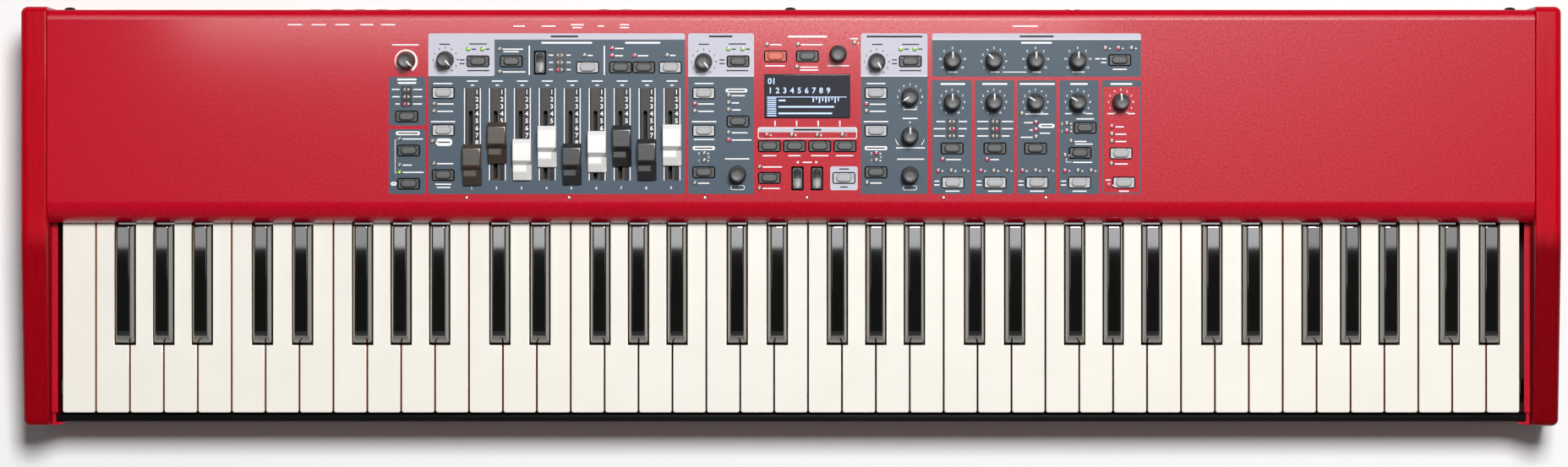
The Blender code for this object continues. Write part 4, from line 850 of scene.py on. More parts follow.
def make_panel():
    """The bent top sheet with its rear wall, rounded nose and holes, and its folded sides."""
    steps = 16
    wall = PANEL_REAR - PANEL_SHEET
    outer = [(PANEL_REAR, PANEL_BOTTOM)] + panel_section(0.0, steps)
    inner = [(wall, PANEL_BOTTOM)] + panel_section(PANEL_SHEET, steps)
    bm = bmesh.new()
    edge = CHASSIS_HALF
    section = outer + list(reversed(inner))
    rings = [[(x, y, z) for y, z in section] for x in (-edge, -edge + SUPPORT, edge - SUPPORT, edge)]
    add_rings(bm, rings)
    panel = make("panel_sheet", bm, LOOKS["red"])
    carve(panel, control_holes())
    carve(panel, socket_holes())
    dress(panel, "chassis", ["top_panel"])
    bm = bmesh.new()
    inset = PANEL_SHEET / 2
    outline = panel_section(inset, steps)
    outline += [(NOSE + inset, SIDE_STRIP_TOP + PART_GAP), (PANEL_REAR - inset, SIDE_STRIP_TOP + PART_GAP)]
    for low, high in ((-edge + PART_GAP, -edge + PANEL_SHEET), (edge - PANEL_SHEET, edge - PART_GAP)):
        add_profile(bm, outline, low, high)
    fix("panel_sides", bm, "red")


def control_holes():
    """Cutters for the knobs, buttons, drawbars and display."""
    bm = bmesh.new()
    heights = (PANEL_TOP - 2 * PANEL_SHEET, PANEL_TOP + PANEL_SHEET)
    for centre in shaft_places():
        add_plate(bm, circle(SHAFT_HOLE_RADIUS, SMALL_SIDES, centre), *heights)
    gap = 2 * BUTTON_HOLE_GAP
    button_size = (BUTTON_WIDTH + gap, BUTTON_DEPTH + gap, HOLE_CORNERS["button"])
    rocker_size = (ROCKER_WIDTH + gap, ROCKER_DEPTH + gap, HOLE_CORNERS["rocker"])
    slot_size = (SLOT_WIDTH, SLOT_LENGTH, HOLE_CORNERS["slot"])
    display_size = (DISPLAY_WIDTH + 2 * PART_GAP, DISPLAY_DEPTH + 2 * PART_GAP, HOLE_CORNERS["display"])
    buttons = [on_panel(place) for place in ORGAN_BUTTONS + MIDDLE_BUTTONS + EFFECT_BUTTONS]
    rockers = [on_panel(place) for place in ORGAN_ROCKERS + MIDDLE_ROCKERS]
    for centres, size in ((buttons, button_size), (rockers, rocker_size), (stem_places(), slot_size),
                          ([on_panel(DISPLAY_PLACE)], display_size)):
        for centre in centres:
            add_plate(bm, rounded_rect(centre, *size), *heights)
    for x in SCREW_PLACES:
        add_plate(bm, circle(SCREW_HOLE_RADIUS, SMALL_SIDES, (x, behind(SCREW_ROW))), *heights)
    return bm


def upright(bm):
    """Turns a mesh built looking up so that it looks to the rear: x stays, y becomes height."""
    bm.transform(Matrix(((1, 0, 0, 0), (0, 0, 1, 0), (0, 1, 0, 0), (0, 0, 0, 1))))
    return bm


def socket_holes():
    """Cutters for the sockets and the power switch in the rear wall."""
    bm = bmesh.new()
    through = (PANEL_REAR - 2 * PANEL_SHEET, PANEL_REAR + PANEL_SHEET)
    for places, radius, sides in ((JACK_PLACES, JACK_BARREL_RADIUS, 32),
                                  (ROUND_SOCKET_PLACES, ROUND_SOCKET_RADIUS, 40)):
        for x in places:
            add_plate(bm, circle(radius + BARREL_GAP, sides, (x, SOCKET_HEIGHT)), *through)
    switch_size = (SWITCH_WIDTH + SWITCH_HOLE_GAP, SWITCH_HEIGHT + SWITCH_HOLE_GAP)
    for x, size in ((DATA_SOCKET_PLACE, DATA_SOCKET_OPENING), (POWER_SOCKET_PLACE, POWER_SOCKET_OPENING),
                    (SWITCH_PLACE, switch_size)):
        add_plate(bm, rounded_rect((x, SOCKET_HEIGHT), *size, 0.0006), *through)
    return upright(bm)


def cheek_fall(distance, length):
    """How far a cheek's top has fallen in front of its crest: a blend, then a straight slope."""
    slope = CHEEK_STEP / (length - CHEEK_BLEND / 2)
    if distance < CHEEK_BLEND:
        return slope * distance ** 2 / (2 * CHEEK_BLEND)
    return slope * (distance - CHEEK_BLEND / 2)


def cheek_outline(inset):
    """The cheek's outline in y and z: level beside the panel, sloping down beside the keys."""
    r = CHEEK_CORNER
    low_top = CHEEK_TOP - CHEEK_STEP
    points = arc((BODY_REAR - r, CHEEK_BOTTOM + r), r - inset, -90, 0, 8)
    points += arc((BODY_REAR - r, CHEEK_TOP - r), r - inset, 0, 90, 8)
    crest, steps = NOSE - CHEEK_CREST, 10
    for i in range(steps + 1):
        distance = CHEEK_BLEND * i / steps
        fall = cheek_fall(distance, crest - BODY_FRONT - r)
        points.append((crest - distance, CHEEK_TOP - inset - fall))
    points += arc((BODY_FRONT + r, low_top - r), r - inset, 90, 180, 8)
    points += arc((BODY_FRONT + r, CHEEK_BOTTOM + r), r - inset, 180, 270, 8)
    return points


def make_cheeks():
    """Two wooden cheeks, rounded over on the outside and eased on the inside."""
    ease, steps = 0.0008, 8
    for name, side in (("left_cheek", -1), ("right_cheek", 1)):
        stages = [(CHEEK_INNER, ease), (CHEEK_INNER + 0.3 * ease, 0.3 * ease), (CHEEK_INNER + ease, 0.0),
                  (CHEEK_INNER + 2 * ease, 0.0), (CHEEK_OUTER - CHEEK_EDGE - ease, 0.0)]
        for i in range(steps + 1):
            angle = math.pi / 2 * i / steps
            stages.append((CHEEK_OUTER - CHEEK_EDGE * (1 - math.sin(angle)),
                           CHEEK_EDGE * (1 - math.cos(angle))))
        rings = [[(side * x, y, z) for y, z in cheek_outline(inset)] for x, inset in stages]
        bm = bmesh.new()
        add_rings(bm, rings)
        cheek = make(name + "_wood", bm, LOOKS[name], smooth=50.0)
        dress(cheek, "chassis", [name])


def make_slip():
    """The black rail in front of the keys, with softened edges."""
    half = CHASSIS_HALF - TOE_LENGTH - PART_GAP
    bm = bmesh.new()
    add_box(bm, (-half, half), (SLIP_FRONT, SLIP_REAR), (PAN_LIP_TOP + PART_GAP, SLIP_TOP))
    edges = [edge for edge in bm.edges if all(vert.co.z > PAN_LIP_TOP + PAN_SHEET for vert in edge.verts)]
    soften(bm, edges, SLIP_EDGE, 4)
    fix("key_slip_rail", bm, "slip", ["key_slip"])


def make_feet():
    """Four rubber feet with a rounded sole edge and a recessed screw."""
    for name, centre in FOOT_PLACES.items():
        top = FOOT_HEIGHT - PART_GAP
        bm = bmesh.new()
        sole = [(FOOT_RADIUS - 0.0012, 0.0), (FOOT_RADIUS - 0.0004, 0.0003), (FOOT_RADIUS, 0.0012)]
        add_turned(bm, [*FOOT_RECESS, *sole, (FOOT_RADIUS - 0.0004, top)], centre)
        fix(name + "_pad", bm, "rubber", [name])


def make_pan():
    """The folded tray with the strips beside the keys, its front lip and two toes."""
    wall = PAN_SHEET
    strip_inner = CHASSIS_HALF - SIDE_STRIP_WIDTH
    right = [(CHASSIS_HALF - wall, PAN_FLOOR), (CHASSIS_HALF - wall, SIDE_STRIP_TOP - wall),
             (strip_inner, SIDE_STRIP_TOP - wall), (strip_inner, SIDE_STRIP_TOP),
             (CHASSIS_HALF, SIDE_STRIP_TOP), (CHASSIS_HALF, FOOT_HEIGHT)]
    left = [(-x, z) for x, z in reversed(right)]
    bm = bmesh.new()
    outline = right + left
    add_rings(bm, [[(x, y, z) for x, z in outline] for y in (KEY_FRONT, SOCKET_FACE)])
    add_box(bm, (-CHASSIS_HALF, CHASSIS_HALF), (SLIP_FRONT, KEY_FRONT), (FOOT_HEIGHT, PAN_FLOOR))
    add_box(bm, (-CHASSIS_HALF, CHASSIS_HALF), (SLIP_FRONT, SLIP_FRONT + wall), (FOOT_HEIGHT, PAN_LIP_TOP))
    for side in (-1, 1):
        outline = [(side * x, y) for x, y in toe_outline()]
        add_plate(bm, outline if side > 0 else list(reversed(outline)), FOOT_HEIGHT, SLIP_TOP - wall)
    fix("pan_tray", bm, "red", ["bottom_pan"])


def toe_outline():
    """The right toe in x and y: beside the slip's end, and curving inward in front of it."""
    outer, inner = CHASSIS_HALF, CHASSIS_HALF - TOE_LENGTH
    rear, behind_tip = KEY_FRONT + PAN_SHEET, SLIP_FRONT - PART_GAP
    corner = 0.0012
    points = arc((outer - corner, TOE_FRONT + corner), corner, -90, 0, 5)
    points += [(outer, rear), (inner, rear), (inner, behind_tip), (CHASSIS_HALF - TOE_REACH, behind_tip)]
    reach, depth, steps = TOE_REACH - TOE_LENGTH, behind_tip - TOE_FRONT, 6
    for i in range(1, steps):
        share = i / steps
        points.append((inner - reach * (1 - share), behind_tip - depth * math.sin(math.pi / 2 * share)))
    return points


# Keys

def note(index):
    """The letter of a white key."""
    return NOTE_NAMES[index % len(NOTE_NAMES)]


def octave(index):
    """The octave that a white key is in, counted from C."""
    return FIRST_OCTAVE + (index + len(NOTE_NAMES) - NOTE_NAMES.index("C")) // len(NOTE_NAMES)


def boundary(index):
    """The line between a white key and the one on its right."""
    return -KEYS_HALF + (index + 1) * KEY_PITCH


def has_black(index):
    """Whether a black key stands on the right of a white key."""
    return 0 <= index < WHITE_COUNT - 1 and note(index) in BLACK_OFFSETS


def black_x(index):
    """The middle of the black key on the right of a white key."""
    return boundary(index) + BLACK_OFFSETS[note(index)]


def white_neck(index):
    """The x range of a white key between the black keys beside it."""
    notch = BLACK_WIDTH / 2 + RUNNING_GAP
    left = black_x(index - 1) + notch if has_black(index - 1) else boundary(index - 1) + WHITE_GAP / 2
    right = black_x(index) - notch if has_black(index) else boundary(index) - WHITE_GAP / 2
    return left, right


def white_outline(index, inset, front_inset):
    """A white key's plan, drawn in at its sides and at its front edge."""
    left = boundary(index - 1) + WHITE_GAP / 2 + inset
    right = boundary(index) - WHITE_GAP / 2 - inset
    neck_left, neck_right = white_neck(index)
    neck_left, neck_right = neck_left + inset, neck_right - inset
    front = KEY_FRONT + front_inset
    notch_y = BLACK_FRONT - BLACK_FRONT_GAP - inset
    corner = 0.0013
    plan = arc((left + corner, front + corner), corner, 180, 270, 4)
    plan += arc((right - corner, front + corner), corner, 270, 360, 4)
    if has_black(index):
        plan += [(right, notch_y), (neck_right, notch_y)]
    plan += [(neck_right, TAIL_FRONT), (neck_left, TAIL_FRONT)]
    if has_black(index - 1):
        plan += [(neck_left, notch_y), (left, notch_y)]
    return plan


def round_inset(radius, below):
    """How far a rounded edge is drawn in at a depth below the top."""
    if below >= radius:
        return 0.0
    return radius - math.sqrt(radius * radius - (radius - below) ** 2)


def add_white_key(bm, index):
    """The key's cap with rounded edges, its tail and the foot it hinges on."""
    side_radius, front_radius = 0.0004, 0.0009
    depths = (WHITE_TOP - KEY_BOTTOM, 0.0009, 0.0006, 0.0004, 0.00025, 0.00012, 0.00004, 0.0)
    rings = []
    for below in depths:
        outline = white_outline(index, round_inset(side_radius, below), round_inset(front_radius, below))
        rings.append(at_height(outline, WHITE_TOP - below))
    outline = white_outline(index, 2 * side_radius, front_radius + side_radius)
    rings.append(at_height(outline, WHITE_TOP))
    # Painted glow: the side walls below the rounded top edge take the amber look.
    for face in add_rings(bm, rings):
        face.normal_update()
        if abs(face.normal.x) > 0.9 and face.calc_center_median().z < WHITE_TOP - side_radius:
            face.material_index = 1
    left, right = white_neck(index)
    add_box(bm, (left + TAIL_INSET, right - TAIL_INSET), (TAIL_FRONT - PART_GAP, TAIL_END),
            (WHITE_TAIL_BOTTOM, WHITE_TOP - TAIL_INSET))
    add_box(bm, (left + 2 * TAIL_INSET, right - 2 * TAIL_INSET),
            (HINGE_Y - FULCRUM_LENGTH / 2, HINGE_Y + FULCRUM_LENGTH / 2), (KEY_BOTTOM, WHITE_TAIL_BOTTOM))


def add_black_key(bm, index):
    """The key's cap: a straight foot, tapered sides, a hollow front slope and softened edges."""
    x = black_x(index)
    wide, narrow = BLACK_WIDTH / 2, BLACK_TOP_WIDTH / 2
    rise = BLACK_TOP - BLACK_SHOULDER
    stages = ((0.0, 0.0), (0.10, 0.02), (0.28, 0.10), (0.50, 0.28), (0.70, 0.50), (0.86, 0.74), (0.94, 0.90))
    rings = [(KEY_BOTTOM, wide, BLACK_FRONT, BLACK_REAR, 0.0008)]
    for height, back in stages:
        taper = (wide - narrow) * height
        rings.append((BLACK_SHOULDER + rise * height, wide - taper, BLACK_FRONT + BLACK_FRONT_SLOPE * back,
                      BLACK_REAR - BLACK_REAR_SLOPE * height, 0.0011))
    edge = 0.0007
    rings.append((BLACK_TOP - edge * 0.3, narrow - edge * 0.25, BLACK_FRONT + BLACK_FRONT_SLOPE,
                  BLACK_REAR - BLACK_REAR_SLOPE - edge * 0.25, 0.0011))
    for inset in (edge, 1.3 * edge):
        rings.append((BLACK_TOP, narrow - inset, BLACK_FRONT + BLACK_FRONT_SLOPE + edge + inset,
                      BLACK_REAR - BLACK_REAR_SLOPE - inset, 0.0006))
    add_rings(bm, [at_height(rounded_rect((x, (low + high) / 2), 2 * half, high - low, corner), z)
                   for z, half, low, high, corner in rings])
    half = BLACK_WIDTH / 2 - TAIL_INSET
    add_box(bm, (x - half, x + half), (BLACK_REAR - PART_GAP, TAIL_END),
            (KEY_BOTTOM + TAIL_INSET, BLACK_TAIL_TOP))


def make_white_piece(body, indices):
    """White keys that move as one, joined by a bar behind their hinge."""
    bm = bmesh.new()
    for index in indices:
        add_white_key(bm, index)
    if len(indices) > 1:
        ends = (white_neck(indices[0])[0] + 2 * TAIL_INSET, white_neck(indices[-1])[1] - 2 * TAIL_INSET)
        add_box(bm, ends, (HINGE_Y + BAR_FRONT, TAIL_END - TAIL_INSET),
                (WHITE_TAIL_BOTTOM + TAIL_INSET, WHITE_TOP - 2 * TAIL_INSET))
    piece = make(body + "_caps", bm, LOOKS["ivory"], LOOKS["painted_side_glow"], smooth=32.0)
    dress(piece, body, [body])


def make_black_piece(body, indices):
    """Black keys that move as one, joined by a bar behind their hinge."""
    bm = bmesh.new()
    for index in indices:
        add_black_key(bm, index)
    if len(indices) > 1:
        half = BLACK_WIDTH / 2 - 2 * TAIL_INSET
        add_box(bm, (black_x(indices[0]) - half, black_x(indices[-1]) + half),
                (HINGE_Y + BAR_FRONT, TAIL_END - TAIL_INSET),
                (KEY_BOTTOM + 2 * TAIL_INSET, BLACK_TAIL_TOP - TAIL_INSET))
    piece = make(body + "_caps", bm, LOOKS["ebony"], smooth=45.0)
    dress(piece, body, [body])


def make_keys():
    """The twelve keys of the middle octave one by one, and the groups beside them."""
    middle_end = MIDDLE_FIRST + MIDDLE_COUNT
    low, high = range(MIDDLE_FIRST), range(middle_end, WHITE_COUNT)
    make_white_piece("white_keys_low", list(low))
    make_white_piece("white_keys_high", list(high))
    make_black_piece("black_keys_low", [index for index in low if has_black(index)])
    make_black_piece("black_keys_high", [index for index in high if has_black(index)])
    for index in range(MIDDLE_FIRST, middle_end):
        make_white_piece("key_%s%d" % (note(index).lower(), octave(index)), [index])
        if has_black(index):
            make_black_piece("key_%s_sharp_%d" % (note(index).lower(), octave(index)), [index])


# Controls

def knob_outline(radius, flute, flutes=16, steps=6):
    """A circle with shallow flutes."""
    points = []
    count = flutes * steps
    for i in range(count):
        angle = 2 * math.pi * i / count
        dip = flute * (0.5 - 0.5 * math.cos(flutes * angle)) ** 2
        points.append(((radius - dip) * math.cos(angle), (radius - dip) * math.sin(angle)))
    return points


def knob_mesh(pointer):
    """A fluted knob on its shaft, with a pointer along +y unless it is a dial."""
    flute = 0.0007
    levels = (
        (0.0, KNOB_BOTTOM, 0.0), (0.0, KNOB_BOTTOM + 0.0016, 0.0), (0.0002, KNOB_BOTTOM + 0.0022, flute),
        (0.0006, KNOB_TOP - 0.0016, flute), (0.0007, KNOB_TOP - 0.0008, flute * 0.8),
        (0.0010, KNOB_TOP - 0.0003, flute * 0.4), (0.0014, KNOB_TOP - 0.0002, 0.0),
        (0.0020, KNOB_TOP - 0.0005, 0.0), (0.0044, KNOB_TOP - 0.0006, 0.0),
    )
    bm = bmesh.new()
    add_rings(bm, [at_height(knob_outline(KNOB_RADIUS - inset, dip), z) for inset, z, dip in levels])
    add_turned(bm, [(SHAFT_RADIUS, SHAFT_BOTTOM), (SHAFT_RADIUS, KNOB_BOTTOM + PART_GAP)], sides=24)
    if pointer:
        add_pointer(bm)
    return bm


def add_pointer(bm):
    """The white line that runs over a knob's top and down its side."""
    half, thickness = 0.00055, 0.0005
    path = ((0.0012, KNOB_TOP - 0.00035), (KNOB_RADIUS - 0.0018, KNOB_TOP),
            (KNOB_RADIUS - 0.0009, KNOB_TOP - 0.0003), (KNOB_RADIUS - 0.00045, KNOB_TOP - 0.0012),
            (KNOB_RADIUS + 0.00005, KNOB_BOTTOM + 0.0022))
    first = len(bm.faces)
    for (y, z), (next_y, next_z) in zip(path, path[1:]):
        corners = [(-half, y, z), (half, y, z), (half, next_y, next_z), (-half, next_y, next_z)]
        top = [bm.verts.new(corner) for corner in corners]
        under = [bm.verts.new((x, back - thickness, up - thickness)) for x, back, up in corners]
        bm.faces.new(top)
        bm.faces.new(list(reversed(under)))
        for i in range(4):
            j = (i + 1) % 4
            bm.faces.new((top[j], top[i], under[i], under[j]))
    bm.faces.ensure_lookup_table()
    for face in bm.faces[first:]:
        face.material_index = 1


def make_knobs():
    """The knobs with their pointers as the photograph shows them, and the plain dials."""
    for name, (x, row, angle) in KNOBS.items():
        place_knob(name, x, row, angle, True)
    for name, (x, row) in DIALS.items():
        place_knob(name, x, row, 0, False)


def place_knob(name, x, row, angle, pointer):
    """A knob on its body, turned clockwise from straight back."""
    bm = knob_mesh(pointer)
    bm.transform(Matrix.Rotation(-math.radians(angle), 4, "Z"))
    knob = make(name + "_cap", bm, LOOKS["knob"], LOOKS["white_ink"])
    knob.location = (x, behind(row), 0.0)
    dress(knob, name, [name])


def add_drawbar_cap(bm):
    """A moulded cap: a low step with a chamfer on its right, then the high grip."""
    left, right = -DRAWBAR_WIDTH / 2, DRAWBAR_WIDTH / 2
    low_front = DRAWBAR_FRONT_SLOPE
    low_rear = low_front + DRAWBAR_LOW_FLAT
    high_front = low_rear + DRAWBAR_STEP_SLOPE
    high_rear = high_front + DRAWBAR_HIGH_FLAT
    rear = high_rear + DRAWBAR_REAR_SLOPE
    flare = 0.0004
    chamfer, fall, lip_fall = 0.0036, 0.0040, 0.0012
    shoulder, shoulder_fall = 0.0009, 0.0004
    slices = (
        (0.0, DRAWBAR_LIP, chamfer, lip_fall), (low_front, DRAWBAR_LOW_TOP, chamfer, fall),
        (low_rear, DRAWBAR_LOW_TOP, chamfer, fall), (high_front, DRAWBAR_HEIGHT, shoulder, shoulder_fall),
        (high_rear, DRAWBAR_HEIGHT, shoulder, shoulder_fall),
        (rear, DRAWBAR_REAR_HEIGHT, shoulder, shoulder_fall),
    )
    rings = []
    for y, top, cut, drop in slices:
        rings.append([(left, y, 0.0), (left + flare, y, top), (right - cut, y, top),
                      (right - flare / 2, y, top - drop), (right, y, 0.0)])
    add_rings(bm, rings)
    foot, edge_radius, least_flat, support = 0.001, 0.00045, 0.000006, 0.0003
    edges = [edge for edge in bm.edges if any(vert.co.z > foot for vert in edge.verts)]
    soften(bm, edges, edge_radius, 3, clamp=True)
    flats = [face for face in bm.faces if face.calc_area() > least_flat]
    bmesh.ops.inset_individual(bm, faces=flats, thickness=support)


def make_drawbars():
    """Nine moulded caps, each on the steel stem that runs in its slot."""
    for index, (value, colour) in enumerate(zip(DRAWBAR_VALUES, DRAWBAR_COLOURS)):
        name = "drawbar_%d" % (index + 1)
        pushed_in = DRAWBAR_TRAVEL * (1 - value / DRAWBAR_MARKS)
        bm = bmesh.new()
        add_drawbar_cap(bm)
        stem = add_box(bm, (STEM_SIDE - STEM_WIDTH / 2, STEM_SIDE + STEM_WIDTH / 2),
                       (STEM_FROM_FRONT - STEM_LENGTH / 2, STEM_FROM_FRONT + STEM_LENGTH / 2),
                       (SHAFT_BOTTOM - DRAWBAR_BOTTOM, PART_GAP))
        for face in stem:
            face.material_index = 1
        bar = make(name + "_cap", bm, LOOKS[colour], LOOKS["steel"])
        bar.location = (drawbar_x(index), behind(DRAWBAR_OUT_ROW) + pushed_in, DRAWBAR_BOTTOM)
        dress(bar, name, [name])


def make_buttons(body, buttons, rockers=()):
    """The web with its plungers, and the caps that stand in the panel, one piece for each colour."""
    pieces = [make_web(body, buttons, rockers)]
    for look in ("dark", "light", "orange"):
        places = [(x, row) for x, row, colour in buttons if colour == look]
        if not places:
            continue
        bm = bmesh.new()
        for place in places:
            add_button(bm, on_panel(place))
        pieces.append(make("%s_%s_caps" % (body, look), bm, LOOKS[look], LOOKS[look + "_pad"]))
    if rockers:
        bm = bmesh.new()
        for x, row in rockers:
            add_rocker(bm, x, behind(row))
        pieces.append(make(body + "_rockers", bm, LOOKS["dark"], LOOKS["rocker_front_highlight"]))
    for piece in pieces:
        dress(piece, body, [body])


def make_web(body, buttons, rockers):
    """The thin sheet that joins a group of caps, and the plungers under it."""
    sized = [(place[:2], BUTTON_WIDTH, BUTTON_DEPTH) for place in buttons]
    sized += [(place, ROCKER_WIDTH, ROCKER_DEPTH) for place in rockers]
    xs = [x + side * (width / 2 + MAT_MARGIN) for (x, _), width, _ in sized for side in (-1, 1)]
    ys = [behind(row) + side * (depth / 2 + MAT_MARGIN) for (_, row), _, depth in sized for side in (-1, 1)]
    middle = ((min(xs) + max(xs)) / 2, (min(ys) + max(ys)) / 2)
    bm = bmesh.new()
    add_pillow(bm, middle, (max(xs) - min(xs), max(ys) - min(ys)), 0.0020, (MAT_BOTTOM, MAT_TOP), 0.0003)
    web = make(body + "_web", bm, LOOKS["web"])
    carve(web, web_openings())
    bm = bmesh.new()
    bm.from_mesh(web.data)
    radius, bevel, into_web = PLUNGER_SIZE / 2, 0.0003, 0.0002
    plunger = [(radius - bevel, PLUNGER_BOTTOM), (radius, PLUNGER_BOTTOM + bevel),
               (radius, MAT_BOTTOM + into_web)]
    for place, _, _ in sized:
        add_turned(bm, plunger, on_panel(place), SMALL_SIDES)
    bm.to_mesh(web.data)
    bm.free()
    return web


def web_openings():
    """Cutters that clear the shafts, the drawbars' stems and the display."""
    bm = bmesh.new()
    heights = (MAT_BOTTOM - PANEL_SHEET, MAT_TOP + PANEL_SHEET)
    corner = 0.0010
    for centre in shaft_places():
        add_plate(bm, circle(SHAFT_RADIUS + MAT_CLEARANCE, SMALL_SIDES, centre), *heights)
    size = (STEM_WIDTH + 2 * MAT_CLEARANCE, SLOT_LENGTH + 2 * MAT_CLEARANCE)
    for centre in stem_places():
        add_plate(bm, rounded_rect(centre, *size, corner), *heights)
    margin = 2 * (DISPLAY_FRAME + MAT_CLEARANCE)
    size = (DISPLAY_WIDTH + margin, DISPLAY_DEPTH + margin)
    add_plate(bm, rounded_rect(on_panel(DISPLAY_PLACE), *size, corner), *heights)
    return bm


def add_button(bm, centre):
    """A cap with a long raised pad in a groove, and a shoulder at each end of it."""
    shoulder = BUTTON_TOP - 0.0009
    groove = shoulder - 0.0012
    width, depth = BUTTON_WIDTH, BUTTON_DEPTH
    add_plate(bm, rounded_rect(centre, width, depth, 0.0006), MAT_TOP, groove)
    radius = depth / 2 - 0.00005
    turn = (width - 0.0018) / 2 - radius
    for side in (-1, 1):
        rings = []
        for inset, z in ((0.0, groove - 0.0001), (0.0, shoulder - 0.0003), (0.0002, shoulder)):
            edge, end = width / 2 - inset, depth / 2 - inset
            hollow = arc((turn, 0.0), radius + inset / 2, 80, -80, 12)
            outline = [(edge, -end), (edge, end)] + hollow
            outline = [(centre[0] + side * x, centre[1] + y) for x, y in outline]
            rings.append(at_height(outline if side > 0 else list(reversed(outline)), z))
        add_rings(bm, rings)
    pad_width, pad_depth, end_flat = 0.0108, 0.0054, 0.00005
    rings = []
    for inset, z in ((-0.0001, groove - 0.0001), (0.0, shoulder + 0.0002), (0.0003, BUTTON_TOP - 0.00025),
                     (0.0006, BUTTON_TOP - 0.00005), (0.0010, BUTTON_TOP), (0.0014, BUTTON_TOP)):
        size = (pad_width - 2 * inset, pad_depth - 2 * inset)
        rings.append(at_height(rounded_rect(centre, *size, pad_depth / 2 - inset - end_flat, 8), z))
    for face in add_rings(bm, rings):
        face.material_index = 1


def add_rocker(bm, x, y):
    """A square-shouldered cap with a tall pad, hollowed from end to end, whose front half carries a painted
    highlight in a lighter grey.
    """
    shoulder, corner = BUTTON_TOP - 0.0012, 0.0012
    rings = []
    for inset, z in ((0.0, MAT_TOP), (0.0, shoulder - 0.0006), (0.0004, shoulder)):
        size = (ROCKER_WIDTH - 2 * inset, ROCKER_DEPTH - 2 * inset)
        rings.append(at_height(rounded_rect((x, y), *size, corner), z))
    add_rings(bm, rings)
    half_width, half_depth, slices = 0.0026, 0.0067, 22
    hollow, bevel, flat_share = 0.0009, 0.0002, 0.8
    rings = []
    for i in range(slices + 1):
        along = -1 + 2 * i / slices
        past_end = max(0.0, abs(along) * half_depth - (half_depth - half_width))
        half = math.sqrt(max(half_width ** 2 - past_end ** 2, 1e-8))
        top = BUTTON_TOP - hollow * (1 - along * along)
        section = ((-half, shoulder - bevel), (-half, top - bevel), (-half * flat_share, top),
                   (half * flat_share, top), (half, top - bevel), (half, shoulder - bevel))
        rings.append([(x + side, y + along * half_depth, z) for side, z in section])
    # Painted highlight: the pad's faces in front of its middle take the lighter grey.
    for face in add_rings(bm, rings):
        if face.calc_center_median().y < y:
            face.material_index = 1


def make_display():
    """The display's frame and glass, and the plain bars and numbers it shows."""
    centre = on_panel(DISPLAY_PLACE)
    glass_top = PANEL_TOP + 0.0002
    under = PANEL_TOP - PANEL_SHEET - PART_GAP
    bm = bmesh.new()
    frame = (DISPLAY_WIDTH + 2 * DISPLAY_FRAME, DISPLAY_DEPTH + 2 * DISPLAY_FRAME)
    add_pillow(bm, centre, frame, 0.0010, (BOARD_TOP + PART_GAP, under), 0.0004)
    fix("display_frame", bm, "housing", ["display_module"])
    bm = bmesh.new()
    add_pillow(bm, centre, (DISPLAY_WIDTH, DISPLAY_DEPTH), 0.0006, (under - PART_GAP, glass_top), 0.0003)
    fix("display_glass_pane", bm, "glass")
    left, top = centre[0] - DISPLAY_WIDTH / 2, centre[1] + DISPLAY_DEPTH / 2
    sheet = display_marks(left, top, glass_top + 0.00004)
    fix("display_marks", sheet.bm, "pixels")


def display_marks(left, top, height):
    """What the display shows, measured from its rear left corner: numbers, a rule and bars."""
    sheet = Sheet("white_ink", glyph_meshes(), height)
    sheet.number("01", left + 0.0050, top - 0.0048, 0.0042)
    digits, first_digit, digit_pitch = top - 0.0112, left + 0.0040, 0.0050
    for i in range(9):
        sheet.number(str(i + 1), first_digit + digit_pitch * i, digits, 0.0040)
    rule = top - 0.0155
    sheet.line((left + 0.0017, rule), (left + 0.0566, rule), 0.0005)
    first_column, column_pitch = left + 0.0336, 0.00215
    for i, drop in enumerate((30, 14, 37, 24, 33, 27, 15, 36, 24)):
        x = first_column + column_pitch * i
        sheet.line((x, top - 0.0160 - drop / 1e4), (x, top - 0.0158), 0.0009)
    for row, length in ((-0.0179, 0.0050), (-0.0223, 0.0386), (-0.0268, 0.0372)):
        y = top + row
        sheet.bar(left + 0.0095 + length / 2, y, length, 0.0012)
        for rise in (-0.0015, 0.0, 0.0015):
            sheet.bar(left + 0.0049, y + rise, 0.0064, 0.0008)
    return sheet


def make_rear_screws():
    """Three black domed screw heads at the top of the rear wall."""
    radius, rim, dome, steps = 0.0039, PANEL_REAR + 0.0002, 0.0017, 5
    profile = [(radius, PANEL_REAR)]
    for i in range(steps + 1):
        angle = math.pi / 2 * i / (steps + 1)
        profile.append((radius * math.cos(angle), rim + dome * math.sin(angle)))
    bm = bmesh.new()
    for x in REAR_SCREW_PLACES:
        add_turned(bm, profile, (x, REAR_SCREW_HEIGHT), 24)
    fix("rear_screws", upright(bm), "web")


def make_screws():
    """The heads of the screws that hold the control board, sunk in their holes."""
    radius = 0.00095
    profile = [(radius, PANEL_TOP - PANEL_SHEET - PART_GAP), (radius, PANEL_TOP - 0.0004),
               (0.0008, PANEL_TOP - 0.0002), (0.0004, PANEL_TOP - 0.00015), (0.0003, PANEL_TOP - 0.0006)]
    bm = bmesh.new()
    for x in SCREW_PLACES:
        add_turned(bm, profile, (x, behind(SCREW_ROW)), 24)
    fix("panel_screws", bm, "screw")


# Rear sockets

def around(middle, size):
    """A range of a given size about its middle."""
    return middle - size / 2, middle + size / 2


